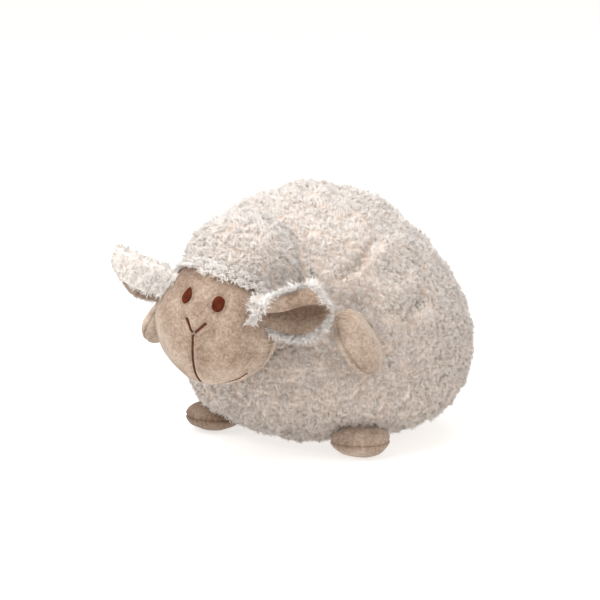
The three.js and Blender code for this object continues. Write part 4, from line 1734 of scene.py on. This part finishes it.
def paw_points(directions, paw, grow):
    across = np.hypot(directions[:, 0], directions[:, 1])
    ratio = directions[:, :2] / np.maximum(across, 1e-9)[:, None]
    fit = np.maximum((np.abs(ratio) ** PAW_POWER).sum(axis=1), 1e-9) ** (-1 / PAW_POWER)
    x, y = directions[:, 0] * fit, directions[:, 1] * fit
    half = paw["half"] + grow
    return np.stack(
        [
            paw["half"][0] - paw["inset"] + half[0] * x,
            half[1] * y,
            half[2] * directions[:, 2] * paw_taper(x),
        ],
        axis=1,
    )


def paw_bend(place):
    return "body", place.translation, place @ PAW_BEND_TO


def paw_painted_shade(points, name):
    """Painted shade in the seam, in the wrinkles beside an arm's seam and towards the body, and over the
    whole of a paw, most on the right foot, which stands in the body's shadow."""
    root = 0.15 * (1 - smoothstep(points[:, 0], 5, 38))
    ripple = 0.55 + 0.45 * np.sin(1.1 * points[:, 0] + 2 * np.sin(0.3 * points[:, 1]))
    beside = bell(np.abs(points[:, 2]) - 3, 4.5) * bell(points[:, 0] - 34, 16)
    wrinkled = 0.5 * beside * ripple * name.startswith("arm")
    return np.clip(0.3 * bell(points[:, 2], 2.4) + wrinkled + root + WHOLE_PAW_SHADE.get(name, 0), 0, 1)


def paw_relief(points, paw, seed):
    turn = np.arctan2(points[:, 1], points[:, 0] - paw["half"][0] + paw["inset"])
    beside = bell(np.abs(points[:, 2]) - 2.5, 3.2)
    puckers = np.sin(turn * 31 + seed) + 0.7 * np.sin(turn * 19 + 2 * seed + np.sign(points[:, 2]))
    puckers *= 0.6 + 0.5 * waves(points, 22, seed + 5)
    relief = bumps(points, *((*layer, seed + k) for k, layer in enumerate(PAW_BUMPS)))
    relief -= PAW_SEAM_DEPTH * bell(points[:, 2], PAW_SEAM_WIDTH)
    return relief + paw["wrinkle"] * puckers * beside


# %% The paws' pieces
for number, (name, (paw, place)) in enumerate(PAWS.items()):
    ball, directions = ball_directions(6)
    points = paw_points(directions, paw, 0)
    points += directions * paw_relief(points, paw, 120 + 7 * number)[:, None]
    points = moved(points, place)
    points[:, 2] = np.maximum(points[:, 2], PAW_LOWEST)
    place_points(ball.verts, points)
    up = place.to_3x3() @ Vector((0, 0, 1))
    cut(ball, place.translation, up, 0.02)
    shape = part_of(ball, lambda p: off_body(p) > -PAW_IN_BODY)
    ball.free()
    for side, panel_name in zip((1, -1), paw["panels"]):
        panel = part_of(shape, lambda p: side * ahead_of(p, place.translation, up) > 0)
        bmesh.ops.recalc_face_normals(panel, faces=panel.faces)
        piece = velour_piece(
            f"{name}_{panel_name}",
            name,
            panel,
            PAW_THICKNESS,
            paw["slot"],
            lambda points: paw_painted_shade(moved(points, place.inverted()), name),
            paw_bend(place),
        )
    shape.free()

# %% [markdown]
# The filling isn't seen, but it is there: one soft block of fibre in each cover, a little smaller than the
# cover and uneven, as pushed-in fibre is.

# %% The body's filling
BODY_FILLING_DEPTH, FILLING_CLEARANCE = 7, 3


def filling_piece(name, body, shape, bend=None):
    bmesh.ops.recalc_face_normals(shape, faces=shape.faces)
    piece = put(name + "_filling", "fibre", mesh_of(shape), body, "filling", bend)


whole = body_shape(-BODY_FILLING_DEPTH, 5)
filling = part_of(whole, lambda p: ~in_ball(p, DISH_RADIUS + FILLING_CLEARANCE))
whole.free()
cup(filling, DISH_RADIUS + FILLING_CLEARANCE, 8)
filling_piece("body", "body", filling)

# %% [markdown]
# The head's filling fills the cap, the face and the neck at once. It is a ball whose points are sent out from
# the head's middle in small steps, for as long as they stay inside one of the three.

# %% The head's filling
FILLING_MIDDLE = np.array((0.0, -8.0, 0.0))
FIRST_REACH, LAST_REACH, REACH_STEPS, STEP_SLACK = 5.0, 95, 181, 0.6
FILLING_UNEVEN = (0.6, 14, 130)

shape, directions = ball_directions(5)
best = np.full(len(directions), FIRST_REACH)
for reach in np.linspace(FIRST_REACH, LAST_REACH, REACH_STEPS)[1:]:
    spots = FILLING_MIDDLE + directions * reach
    held = (off_face(spots)[0] < -4) | (off_cap(spots)[0] < -6)
    held |= (np.linalg.norm(spots, axis=1) < NECK_RADIUS - 5) & (off_body(moved(spots, HEAD)) < -5)
    best = np.where(held & (best >= reach - STEP_SLACK), reach, best)
best += bumps(directions * 60, FILLING_UNEVEN)
place_points(shape.verts, moved(FILLING_MIDDLE + directions * best[:, None], HEAD))
filling_piece("head", "head", shape)

# %% The paws' fillings
PAW_FILLING_DEPTH, PAW_FILLING_LOWEST, PAW_FILLING_IN_BODY = 3.2, 2.0, 8

for number, (name, (paw, place)) in enumerate(PAWS.items()):
    ball, directions = ball_directions(5)
    points = paw_points(directions, paw, -PAW_FILLING_DEPTH)
    points += directions * bumps(points, (0.3, 12, 140 + number))[:, None]
    points = moved(points, place)
    points[:, 2] = np.maximum(points[:, 2], PAW_FILLING_LOWEST)
    place_points(ball.verts, points)
    shape = part_of(ball, lambda p: off_body(p) > -PAW_FILLING_IN_BODY)
    ball.free()
    bmesh.ops.holes_fill(shape, edges=[e for e in shape.edges if e.is_boundary])
    filling_piece(name, name, shape, paw_bend(place))
